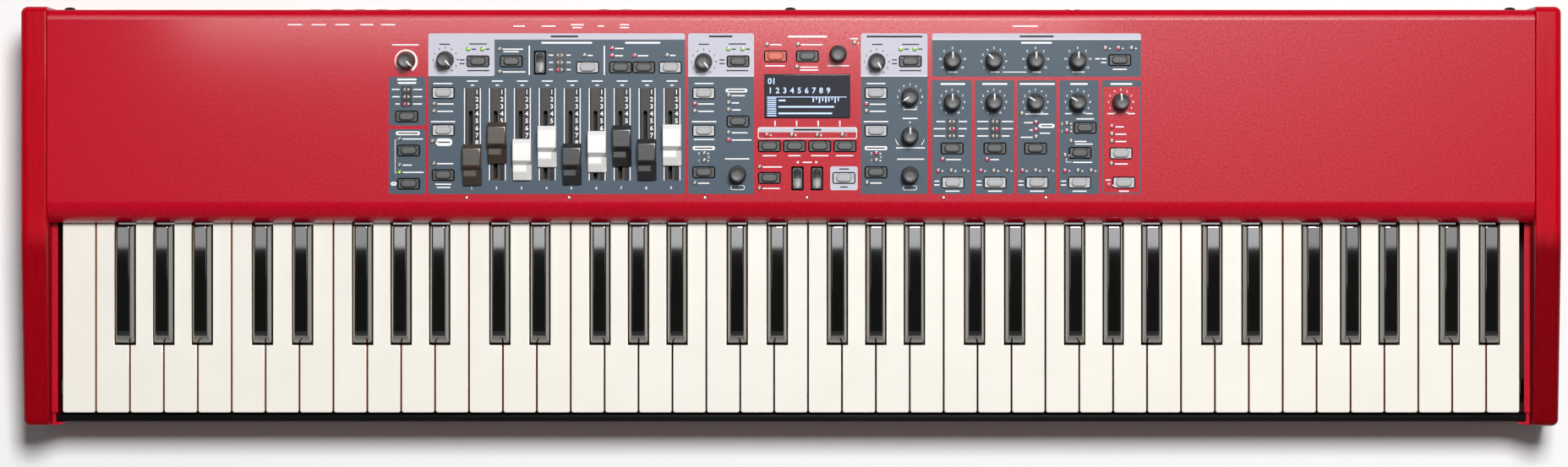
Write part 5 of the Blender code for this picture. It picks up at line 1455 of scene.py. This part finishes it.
def add_hoop(bm, profile, centre, sides=48, flats=0):
    """Turns a closed profile of (radius, z) into a ring; its first half has flat sides if asked."""
    loops = []
    for index, (radius, z) in enumerate(profile):
        points = circle(radius, sides, centre)
        if flats and index < len(profile) // 2:
            points = []
            for i in range(sides):
                angle = 2 * math.pi * i / sides
                reach = radius * math.cos(math.pi / flats)
                reach /= math.cos(angle % (2 * math.pi / flats) - math.pi / flats)
                points.append((centre[0] + reach * math.cos(angle), centre[1] + reach * math.sin(angle)))
        loops.append([bm.verts.new((*point, z)) for point in points])
    join_loops(bm, loops + loops[:1])


def threaded_barrel():
    """The outside of a jack's barrel with its thread, then its bore, as (radius, depth)."""
    root = JACK_BARREL_RADIUS - 0.0003
    profile = [(root, SOCKET_FACE)]
    turns, start = 5, PANEL_REAR + WASHER_THICKNESS
    pitch = (BODY_REAR - 0.0002 - start) / turns
    for turn in range(turns):
        profile += [(root, start + pitch * turn), (JACK_BARREL_RADIUS, start + pitch * (turn + 0.5))]
    rim, mouth_bevel, bore_depth = BODY_REAR - 0.00005, 0.0003, 0.004
    return profile + [(root, rim), (JACK_BORE_RADIUS + 0.0002, rim), (JACK_BORE_RADIUS, rim - mouth_bevel),
                      (JACK_BORE_RADIUS, SOCKET_FACE - bore_depth)]


def make_sockets():
    """What the rear wall shows: barrels with washers and nuts, and the sockets' contacts."""
    steel, dark, brass = bmesh.new(), bmesh.new(), bmesh.new()
    washer_top, nut_top = PANEL_REAR + WASHER_THICKNESS, PANEL_REAR + 0.0015
    washer, nut, nut_face, hole, bevel = 0.0062, 0.0058, 0.0054, 0.0047, 0.0003
    for x in JACK_PLACES:
        centre = (x, SOCKET_HEIGHT)
        add_hoop(steel, threaded_barrel(), centre)
        add_hoop(steel, [(washer, PANEL_REAR), (washer, washer_top), (hole, washer_top), (hole, PANEL_REAR)],
                 centre)
        add_hoop(steel, [(nut, washer_top), (nut, nut_top - bevel), (nut_face, nut_top),
                         (hole, nut_top), (hole, nut_top - bevel), (hole, washer_top)], centre, flats=6)
    for x in ROUND_SOCKET_PLACES:
        add_round_socket(steel, dark, brass, (x, SOCKET_HEIGHT))
    tongue, tongue_root = SOCKET_FACE - 0.0020, SOCKET_FACE - 0.0110
    add_pillow(dark, (DATA_SOCKET_PLACE, SOCKET_HEIGHT), (0.0056, 0.0032), 0.0003,
               (tongue_root, tongue), 0.0002)
    for side in (-0.0018, -0.0006, 0.0006, 0.0018):
        add_pillow(brass, (DATA_SOCKET_PLACE + side, SOCKET_HEIGHT), (0.0006, 0.0036), 0.0001,
                   (tongue_root, tongue - 0.0004), 0.0001)
    for side, drop in ((-0.0070, 0.0020), (0.0070, 0.0020), (0.0, -0.0020)):
        add_pillow(brass, (POWER_SOCKET_PLACE + side, SOCKET_HEIGHT - drop), (0.0021, 0.0040), 0.0003,
                   (SOCKET_FACE - 0.0165, SOCKET_FACE - 0.0030), 0.0004)
    for name, bm, look in (("socket_metal", steel, "steel"), ("socket_inserts", dark, "housing"),
                           ("socket_contacts", brass, "brass")):
        fix(name, upright(bm), look)


def add_round_socket(steel, dark, brass, centre):
    """A round socket's metal shell, its insert and five contact tubes in an arc."""
    face, root, rim, bevel = SOCKET_FACE - 0.0016, SOCKET_FACE - 0.0085, SOCKET_FACE - 0.0003, 0.0003
    shell = ROUND_SOCKET_RADIUS - 0.0001
    inside, insert = shell - 0.0005, shell - 0.0009
    add_hoop(steel, [(shell, root), (shell, rim), (inside, rim), (inside, root)], centre)
    add_turned(dark, [(insert, root), (insert, face - bevel), (insert - bevel, face)], centre)
    tube, bore, low, high = 0.0009, 0.0005, face - 0.0010, face + 0.0001
    for angle in (0, 45, 90, 135, 180):
        spot = arc(centre, 0.0037, angle, angle, 1)[0]
        add_hoop(brass, [(tube, low), (tube, high), (bore, high), (bore, low)], spot, 16)


def housing_sizes():
    """Every socket housing on the main board: (x, (width, depth, height above the board))."""
    sized = [(x, JACK_BODY_SIZE) for x in JACK_PLACES]
    sized += [(x, ROUND_SOCKET_SIZE) for x in ROUND_SOCKET_PLACES]
    return sized + [(DATA_SOCKET_PLACE, DATA_SOCKET_SIZE), (POWER_SOCKET_PLACE, POWER_SOCKET_SIZE),
                    (SWITCH_PLACE, SWITCH_BOX_SIZE)]


def make_main_board():
    """The board behind the rear wall, on its posts, with the sockets' housings and their bores."""
    left, right = min(JACK_PLACES) - MAIN_BOARD_MARGIN, SWITCH_PLACE + MAIN_BOARD_MARGIN
    front, bottom = SOCKET_FACE - MAIN_BOARD_DEPTH, MAIN_BOARD_TOP - BOARD_THICKNESS
    bm = bmesh.new()
    middle = ((left + right) / 2, (front + SOCKET_FACE) / 2 - PART_GAP)
    size = (right - left, MAIN_BOARD_DEPTH - 2 * PART_GAP)
    add_pillow(bm, middle, size, 0.0020, (bottom, MAIN_BOARD_TOP), 0.0002)
    for x in (left + POST_SIZE, (left + right) / 2, right - POST_SIZE):
        for y in (front + POST_SIZE, SOCKET_FACE - JACK_BODY_SIZE[1] - POST_SIZE):
            add_turned(bm, [(POST_SIZE / 2, PAN_FLOOR + PART_GAP), (POST_SIZE / 2, bottom)], (x, y), 24)
    fix("main_board_plate", bm, "board", ["main_board"])
    bm = bmesh.new()
    for x, (width, depth, height) in housing_sizes():
        add_box(bm, around(x, width), (SOCKET_FACE - depth, SOCKET_FACE),
                (MAIN_BOARD_TOP, MAIN_BOARD_TOP + height))
    soften(bm, list(bm.edges), 0.0004, 2)
    housings = make("socket_housings", bm, LOOKS["housing"])
    carve(housings, socket_bores())
    dress(housings, "chassis")


def socket_bores():
    """Cutters for the mouths of the sockets and the space behind the power switch."""
    bm = bmesh.new()
    outside = SOCKET_FACE + PAN_SHEET
    for places, radius, depth in ((JACK_PLACES, JACK_BORE_RADIUS, 0.0200),
                                  (ROUND_SOCKET_PLACES, ROUND_SOCKET_RADIUS, 0.0090)):
        for x in places:
            add_plate(bm, circle(radius, 32, (x, SOCKET_HEIGHT)), SOCKET_FACE - depth, outside)
    switch_size = (SWITCH_WIDTH + 2 * RUNNING_GAP, SWITCH_HEIGHT + 2 * RUNNING_GAP)
    for x, size, depth in ((DATA_SOCKET_PLACE, DATA_SOCKET_OPENING, 0.0120),
                           (POWER_SOCKET_PLACE, POWER_SOCKET_OPENING, 0.0170),
                           (SWITCH_PLACE, switch_size, 0.0085)):
        add_plate(bm, rounded_rect((x, SOCKET_HEIGHT), *size, 0.0004), SOCKET_FACE - depth, outside)
    return upright(bm)


def make_power_switch():
    """The power switch's rocker, hollow-faced, tilted to its off position."""
    half, steps = SWITCH_HEIGHT / 2, 10
    outline = [(-SWITCH_BACK, -half)]
    for i in range(-steps, steps + 1):
        share = i / steps
        outline.append((SWITCH_FRONT - SWITCH_DENT * (1 - share * share), half * share))
    outline.append((-SWITCH_BACK, half))
    bm = bmesh.new()
    add_profile(bm, outline, *around(0.0, SWITCH_WIDTH))
    sides = [edge for edge in bm.edges if abs(edge.verts[0].co.x - edge.verts[1].co.x) < 1e-6]
    soften(bm, sides, 0.0003, 2, clamp=True)
    bm.transform(Matrix.Rotation(math.radians(SWITCH_TILT), 4, "X"))
    switch = make("power_switch_rocker", bm, LOOKS["black"])
    switch.location = SWITCH_HINGE
    dress(switch, "power_switch", ["power_switch"])


# Printing

# How far each ink's top stands over the panel, so that no two of them meet
INK_RISE = {
    "blue_ink": 0.00004, "lavender_ink": 0.00007, "strip_ink": 0.00007, "white_ink": 0.00010,
    "dark_ink": 0.00013,
}
INK_ROOT = PANEL_TOP - 0.0003
LINE = 0.0009
THIN_LINE = 0.0004
RULE = 0.0005


def ink_top(look):
    """The height of an ink's top."""
    return PANEL_TOP + INK_RISE[look]


def corner_outline(field, radii):
    """A field's outline, with a radius for each corner: front left, front right, rear right, rear left."""
    x_from, x_to, row_from, row_to = field
    corners = ((x_from, row_from, 1, 1, 180), (x_to, row_from, -1, 1, 270),
               (x_to, row_to, -1, -1, 0), (x_from, row_to, 1, -1, 90))
    points = []
    for (x, row, side_x, side_y, start), radius in zip(corners, radii):
        if radius:
            points += arc((x + side_x * radius, behind(row) + side_y * radius), radius, start, start + 90, 5)
        else:
            points.append((x, behind(row)))
    return points


def add_field(bm, field, look, radii=(FIELD_CORNER,) * 4):
    """A printed area with rounded corners."""
    add_plate(bm, corner_outline(field, radii), INK_ROOT, ink_top(look))


def field_at(x, row, width, depth):
    """A field of a given size about a place."""
    return (x - width / 2, x + width / 2, row - depth / 2, row + depth / 2)


def on_lavender(x, row):
    """Whether a place on the panel is printed lavender."""
    block = (ORGAN_HEADER[0], ORGAN_BLOCK[0], ORGAN_BLOCK[1], ORGAN_HEADER[3])
    fields = LAVENDER_BLOCKS + (SHIFT_FIELD, ORGAN_HEADER, block, PROGRAM_HEADER)
    return any(x_from < x < x_to and row_from < row < row_to for x_from, x_to, row_from, row_to in fields)


def make_fields():
    """The printed areas behind the controls."""
    bm = bmesh.new()
    for field in BLUE_FIELDS:
        add_field(bm, field, "blue_ink")
    dress_print("blue_ink_fields", bm, "blue_ink")
    x_from, x_to, _, row_to = OUTLINED_FIELD
    inner = FIELD_CORNER - LINE / 2
    header = (x_from + LINE, x_to - LINE, OUTLINED_HEADER, row_to - LINE)
    bm = bmesh.new()
    add_frame(bm, OUTLINED_FIELD, LINE, "blue_ink")
    add_field(bm, header, "blue_ink", (0, 0, inner, inner))
    fix("print_outlined_field", bm, "blue_ink")
    bm = bmesh.new()
    rear_only = (0, 0, FIELD_CORNER, FIELD_CORNER)
    for field in LAVENDER_BLOCKS + (PROGRAM_HEADER,):
        add_field(bm, field, "lavender_ink", rear_only)
    add_field(bm, SHIFT_FIELD, "lavender_ink")
    header_right_on = corner_outline(ORGAN_HEADER, rear_only)[1:]
    block_x, block_row = ORGAN_BLOCK
    corner = (block_x - FIELD_CORNER, behind(block_row) + FIELD_CORNER)
    outline = [*header_right_on, (ORGAN_HEADER[0], behind(block_row)),
               *arc(corner, FIELD_CORNER, 270, 360, 5), (block_x, behind(ORGAN_HEADER[2]))]
    add_plate(bm, outline, INK_ROOT, ink_top("lavender_ink"))
    dress_print("lavender_ink_fields", bm, "lavender_ink")


def dress_print(name, bm, look):
    """A printed layer with the controls' holes cut through it."""
    printed = make("print_" + name, bm, LOOKS[look])
    carve(printed, control_holes())
    dress(printed, "chassis")


def glyph_meshes():
    """Each digit in the built-in font, bold, one unit tall and one unit thick."""
    made = {}
    for digit in "0123456789":
        curve = bpy.data.curves.new("digit", "FONT")
        curve.body = digit
        curve.align_x, curve.align_y = "CENTER", "CENTER"
        curve.resolution_u = 2
        curve.offset = 0.022
        curve.extrude = 0.5
        holder = bpy.data.objects.new("digit", curve)
        bpy.context.collection.objects.link(holder)
        graph = bpy.context.evaluated_depsgraph_get()
        made[digit] = bpy.data.meshes.new_from_object(holder.evaluated_get(graph))
        bpy.data.objects.remove(holder)
    return made


class Sheet:
    """What is printed in one ink: bars, lines, bands, frames and numbers."""

    def __init__(self, look, glyphs, top=None):
        """An empty sheet, whose top is the ink's own unless one is given."""
        self.look, self.glyphs, self.bm = look, glyphs, bmesh.new()
        self.top = ink_top(look) if top is None else top
        self.root = self.top - 0.00035

    def number(self, text, x, y, height):
        """Digits in a row about a place."""
        pitch, scale = 0.68 * height, 1.38 * height
        start = x - pitch * (len(text) - 1) / 2
        thickness = 0.0001
        for i, digit in enumerate(text):
            spot = Matrix.Translation((start + i * pitch, y, self.top - thickness / 2))
            before = len(self.bm.verts)
            self.bm.from_mesh(self.glyphs[digit])
            self.bm.verts.ensure_lookup_table()
            turn = spot @ Matrix.Diagonal((scale, scale, thickness, 1.0))
            bmesh.ops.transform(self.bm, matrix=turn, verts=self.bm.verts[before:])

    def bar(self, x, y, length, height):
        """A bar with round ends about a place."""
        add_plate(self.bm, rounded_rect((x, y), length, height, height * 0.45), self.root, self.top)

    def line(self, start, end, width):
        """A straight line between two points."""
        add_line(self.bm, start, end, width, self.root, self.top)

    def shape(self, points):
        """A flat shape with the given corners, anticlockwise."""
        add_plate(self.bm, points, self.root, self.top)

    def band(self, centre, radius, angles, widths):
        """Part of a ring, its angles in degrees clockwise from straight back."""
        steps, rings = 32, []
        for i in range(steps + 1):
            share = i / steps
            angle = math.radians(angles[0] + (angles[1] - angles[0]) * share)
            half = (widths[0] + (widths[1] - widths[0]) * share) / 2
            near, far = [(centre[0] + reach * math.sin(angle), centre[1] + reach * math.cos(angle))
                         for reach in (radius - half, radius + half)]
            rings.append([(*near, self.root), (*far, self.root), (*far, self.top), (*near, self.top)])
        add_rings(self.bm, rings)


def add_frame(bm, field, width, look):
    """A field's outline as a line of an even width."""
    x_from, x_to, row_from, row_to = field
    inner = (x_from + width, x_to - width, row_from + width, row_to - width)
    outside = corner_outline(field, (FIELD_CORNER,) * 4)
    inside = corner_outline(inner, (FIELD_CORNER - width / 2,) * 4)
    top = ink_top(look)
    loops = []
    for outline, z in ((outside, INK_ROOT), (outside, top), (inside, top), (inside, INK_ROOT)):
        loops.append([bm.verts.new((*point, z)) for point in outline])
    join_loops(bm, loops + loops[:1])


def make_print():
    """Scales, lines, number marks, and a plain bar for each label."""
    glyphs = glyph_meshes()
    white, dark, strip = Sheet("white_ink", glyphs), Sheet("dark_ink", glyphs), Sheet("strip_ink", glyphs)
    for places, height in ((LABELS, LABEL_HEIGHT), (HEADINGS, HEADING_HEIGHT)):
        for x, row, length in places:
            sheet = dark if on_lavender(x, row) else white
            sheet.bar(x, behind(row), length / 1000, height)
    for x, row, width, depth in PILLS:
        white.bar(x, behind(row), width / 1000, depth / 1000)
        dark.bar(x, behind(row), width / 1000 - 0.0030, LABEL_HEIGHT)
    for x, row, text in NUMBERS:
        white.number(text, x, behind(row), 0.0016)
    print_zone_marks(white, dark)
    print_scales(white, dark)
    print_lines(white)
    print_lamp_marks(white, dark)
    for index in range(len(DRAWBAR_VALUES)):
        x = drawbar_x(index)
        print_drawbar_strip(white, dark, strip, x)
        white.bar(x, behind(0.0977), 0.0077, LABEL_HEIGHT)
        white.bar(x, behind(0.0948), 0.0026, LABEL_HEIGHT)
        white.number(str(index + 1), x - 0.0006, behind(0.0238), 0.0020)
    for sheet in (white, dark):
        fix("print_" + sheet.look, sheet.bm, sheet.look)
    dress_print("strip_ink", strip.bm, "strip_ink")


def print_zone_marks(white, dark):
    """The two short marks left of every on and off button."""
    for x, row in ZONE_BUTTONS + SOURCE_BUTTONS:
        sheet = dark if on_lavender(x, row) else white
        for rise, length in ((0.0010, 0.0036), (-0.0016, 0.0038)):
            sheet.bar(x - 0.0110, behind(row + rise), length, LABEL_HEIGHT)


def print_scales(white, dark):
    """Numbers round the knobs: 0 to 10, or up and down from 0 on the tone knobs."""
    for name, (x, row, _) in KNOBS.items():
        sheet = dark if on_lavender(x, row) else white
        if name in PLAIN_KNOBS:
            continue
        values = [(str(value), -150 + 30 * value) for value in range(11)]
        if name in TONE_KNOBS:
            values = [(str(abs(value)), 8.4 * value) for value in (-15, -10, -5, 0, 5, 10, 15)]
        if name == "middle_tuning_knob":
            values = [(str(value), -126 + 31.5 * (value - 1)) for value in range(1, 10)]
        for text, angle in values:
            turn = math.radians(angle)
            spot = (x + SCALE_RADIUS * math.sin(turn), behind(row) + SCALE_RADIUS * math.cos(turn))
            sheet.number(text, *spot, SCALE_DIGIT)
    x, row, _ = KNOBS["master_level_knob"]
    white.band((x - 0.0004, behind(row)), 0.0074, (-142, 148), (0.0005, 0.0016))
    x, row, _ = KNOBS["decay_knob"]
    for side in (-1, 1):
        white.band((x, behind(row)), 0.0101, (side * 100, side * 128), (0.0002, 0.0007))
    tip = behind(row) + 0.0085
    white.shape([(x, tip), (x + 0.0008, tip + 0.0012), (x - 0.0008, tip + 0.0012)])


def print_lines(white):
    """Rules between groups, brackets, arrows, boxes and the underlines of the lavender blocks."""
    for xs, row_from, row_to in (((-0.1805, -0.1288), 0.1019, 0.1221),
                                 ((-0.0111, 0.0038, 0.0187, 0.0336), 0.0666, 0.0703)):
        for x in xs:
            white.line((x, behind(row_from)), (x, behind(row_to)), LINE)
    white.line((0.1459, behind(0.1039)), (0.1624, behind(0.1039)), 0.0006)
    for path in (((-0.2711, 0.0571), (-0.2730, 0.0571), (-0.2730, 0.0343), (-0.2711, 0.0343)),
                 ((0.1897, 0.0447), (0.1897, 0.0418), (0.1932, 0.0418))):
        for (x, row), (next_x, next_row) in zip(path, path[1:]):
            white.line((x, behind(row)), (next_x, behind(next_row)), THIN_LINE)
    for x, side in ((0.0045, -1), (0.0175, 1)):
        y = behind(0.0417)
        points = [(x + side * 0.0011, y), (x - side * 0.0008, y + 0.0010), (x - side * 0.0008, y - 0.0010)]
        white.shape(points if side < 0 else points[::-1])
    for x_from, x_to, row_from, _ in LAVENDER_BLOCKS:
        white.line((x_from, behind(row_from)), (x_to, behind(row_from)), RULE)
    add_frame(white.bm, PROGRAM_BOX, RULE, "white_ink")
    for x, row in LIST_BOXES:
        add_frame(white.bm, field_at(x, row, *LIST_BOX_SIZE), THIN_LINE, "white_ink")


def print_lamp_marks(white, dark):
    """A bar beside each lamp and beside each arrow of the lamp windows."""
    for x, row, _, length in LAMPS:
        length = (length or 1.3) / 1000
        sheet = dark if on_lavender(x, row) else white
        start = 0.0023 if length > 0 else -0.0023
        sheet.bar(x + start + length / 2, behind(row), abs(length), LABEL_HEIGHT)
    for x, row, _, left_lengths, right_lengths in LAMP_WINDOWS:
        for lengths, side in ((left_lengths, -1), (right_lengths, 1)):
            for i, length in enumerate(lengths):
                middle = WINDOW_SIZE[0] / 2 + 0.0010 + length / 2000
                white.bar(x + side * middle, behind(row) + ARROW_ROW * (1 - i), length / 1000, LABEL_HEIGHT)


def print_drawbar_strip(white, dark, strip, x):
    """A drawbar's dark strip with its border lines and the numbers 1 to 8."""
    row_from, row_to = 0.0291, 0.0928
    half = 0.00545
    add_field(strip.bm, (x - half, x + half, row_from, row_to), "strip_ink", (0, 0, 0, 0))
    for side in (-1, 1):
        white.line((x + side * half, behind(row_from)), (x + side * half, behind(row_to)), 0.0007)
    top = ink_top("strip_ink") + 0.00002
    for x_from, x_to in ((-half + 0.0003, -half + 0.0014), (0.00175, half - 0.0003)):
        strip_field = (x + x_from, x + x_to, row_from, row_to)
        add_plate(dark.bm, corner_outline(strip_field, (0, 0, 0, 0)), INK_ROOT, top)
    for mark in range(DRAWBAR_MARKS):
        white.number(str(mark + 1), x + 0.0031, behind(0.0900 - 0.00498 * mark), 0.0033)


def make_lamps():
    """Round lamps, each a domed lens in a dark ring, and the lamp windows with their arrows."""
    rings = bmesh.new()
    lenses = {"off": bmesh.new(), "red": bmesh.new(), "green": bmesh.new()}
    for x, row, look, _ in LAMPS:
        for bm, profile in ((rings, LAMP_RING), (lenses[look], LAMP_LENS)):
            raised = [(radius, PANEL_TOP + rise) for radius, rise in profile]
            add_turned(bm, raised, (x, behind(row)), SMALL_SIDES)
    arrows = {"arrow": bmesh.new(), "red_lamp": bmesh.new()}
    for x, row, lit_arrow, _, _ in LAMP_WINDOWS:
        heights = (PANEL_TOP - 0.0002, PANEL_TOP + 0.00016)
        add_pillow(rings, (x, behind(row)), WINDOW_SIZE, 0.0006, heights, 0.0001)
        for column, side in enumerate((-1, 1)):
            for i in range(3):
                look = "red_lamp" if (column, i) == lit_arrow else "arrow"
                add_arrow(arrows[look], x + side * 0.0015, behind(row) + ARROW_ROW * (1 - i), side)
    fix("lamp_rings", rings, "window")
    for look, bm in lenses.items():
        fix("lamps_" + look, bm, "off" if look == "off" else look + "_lamp")
    for look, bm in arrows.items():
        fix("arrows_" + look, bm, look)


def add_arrow(bm, x, y, side):
    """A small raised triangle that points to one side."""
    base = PANEL_TOP + 0.0001
    rings = []
    for size, z in ((1.0, base), (1.0, base + 0.0001), (0.8, base + 0.0002)):
        points = [(x + side * 0.0011 * size, y), (x - side * 0.0008 * size, y + 0.0014 * size),
                  (x - side * 0.0008 * size, y - 0.0014 * size)]
        rings.append(at_height(points if side > 0 else points[::-1], z))
    add_rings(bm, rings)


# Stage, light and camera

# The main light, then cards that show in the panel and in the black keys: (name, place, size,
# brightness)
SOFTBOXES = (
    ("rear_softbox", (0.48, 1.44, 4.5), (0.95, 1.25), 65.5),
    ("ceiling_card", (0.0, 0.190, 4.5), (2.2, 0.318), 0.95),
    ("key_card", (0.0, -0.002, 4.5), (2.7, 0.064), 1.35),
    ("middle_key_card", (0.05, -0.002, 4.49), (1.4, 0.064), 0.75),
)
# A low light seen only as a haze in the middle of the panel
PANEL_GLOW = ("panel_glow", (-0.12, 0.165, 0.5), (0.70, 0.04), 13.0)
FLOOR_HALF = 9.0
FLOOR_THICKNESS = 0.02
CAMERA_PLACE = (-0.0049, -0.0117, 3.562)
FOCAL_LENGTH = 115.95
SENSOR_WIDTH = 36.0

def make_stage():
    """A pale floor, soft lights from above and behind, and a sky that is dim overhead."""
    bm = bmesh.new()
    span = (-FLOOR_HALF, FLOOR_HALF)
    add_box(bm, span, span, (-FLOOR_THICKNESS, 0.0))
    floor = make("floor", bm, grained("floor_paper", (0.90, 0.90, 0.90), 0.9, 60.0, 0.00001, 0.004))
    for name, place, size, brightness in SOFTBOXES:
        add_softbox(name, place, size, brightness)
    add_softbox(*PANEL_GLOW).visible_diffuse = False
    world = bpy.data.worlds.new("soft_sky")
    world.use_nodes = True
    tree = world.node_tree
    place = tree.nodes.new("ShaderNodeTexCoord")
    parts = tree.nodes.new("ShaderNodeSeparateXYZ")
    tree.links.new(place.outputs["Generated"], parts.inputs["Vector"])
    sky = ramp(tree, parts.outputs["Z"], ((0.0, (0.16,) * 3), (0.90, (0.10,) * 3), (0.985, (0.018,) * 3)))
    tree.links.new(sky, tree.nodes["Background"].inputs["Color"])
    bpy.context.scene.world = world


def add_softbox(name, place, size, brightness):
    """A level rectangular light facing down, which the camera doesn't see."""
    light = bpy.data.lights.new(name, "AREA")
    light.shape = "RECTANGLE"
    light.size, light.size_y = size
    light.energy = brightness * math.pi * size[0] * size[1]
    lamp = bpy.data.objects.new(name, light)
    lamp.location = place
    lamp.visible_camera = False
    bpy.context.collection.objects.link(lamp)
    return lamp


def make_camera():
    """Straight down from where the photograph was taken."""
    data = bpy.data.cameras.new("camera")
    data.sensor_width = SENSOR_WIDTH
    data.lens = FOCAL_LENGTH
    data.clip_end = 50.0
    camera = bpy.data.objects.new("camera", data)
    camera.location = CAMERA_PLACE
    bpy.context.collection.objects.link(camera)
    bpy.context.scene.camera = camera
    bpy.context.scene.view_settings.view_transform = "Standard"


def dress_nodes(frame):
    """Finishes for the CAD nodes that stay."""
    for name, look in (("keybed_frame", "keybed_metal_and_shade"), ("control_board", "parts")):
        node = frame["nodes"][name]
        node.data.materials.clear()
        node.data.materials.append(LOOKS[look])


def main():
    """Loads the frame and dresses it."""
    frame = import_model()
    make_camera()
    make_looks()
    make_panel()
    make_cheeks()
    make_slip()
    make_feet()
    make_pan()
    make_keys()
    make_knobs()
    make_drawbars()
    make_buttons("organ_buttons", ORGAN_BUTTONS, ORGAN_ROCKERS)
    make_buttons("middle_buttons", MIDDLE_BUTTONS, MIDDLE_ROCKERS)
    make_buttons("effect_buttons", EFFECT_BUTTONS)
    make_display()
    make_screws()
    make_rear_screws()
    make_main_board()
    make_sockets()
    make_power_switch()
    make_fields()
    make_print()
    make_lamps()
    dress_nodes(frame)
    make_stage()


main()
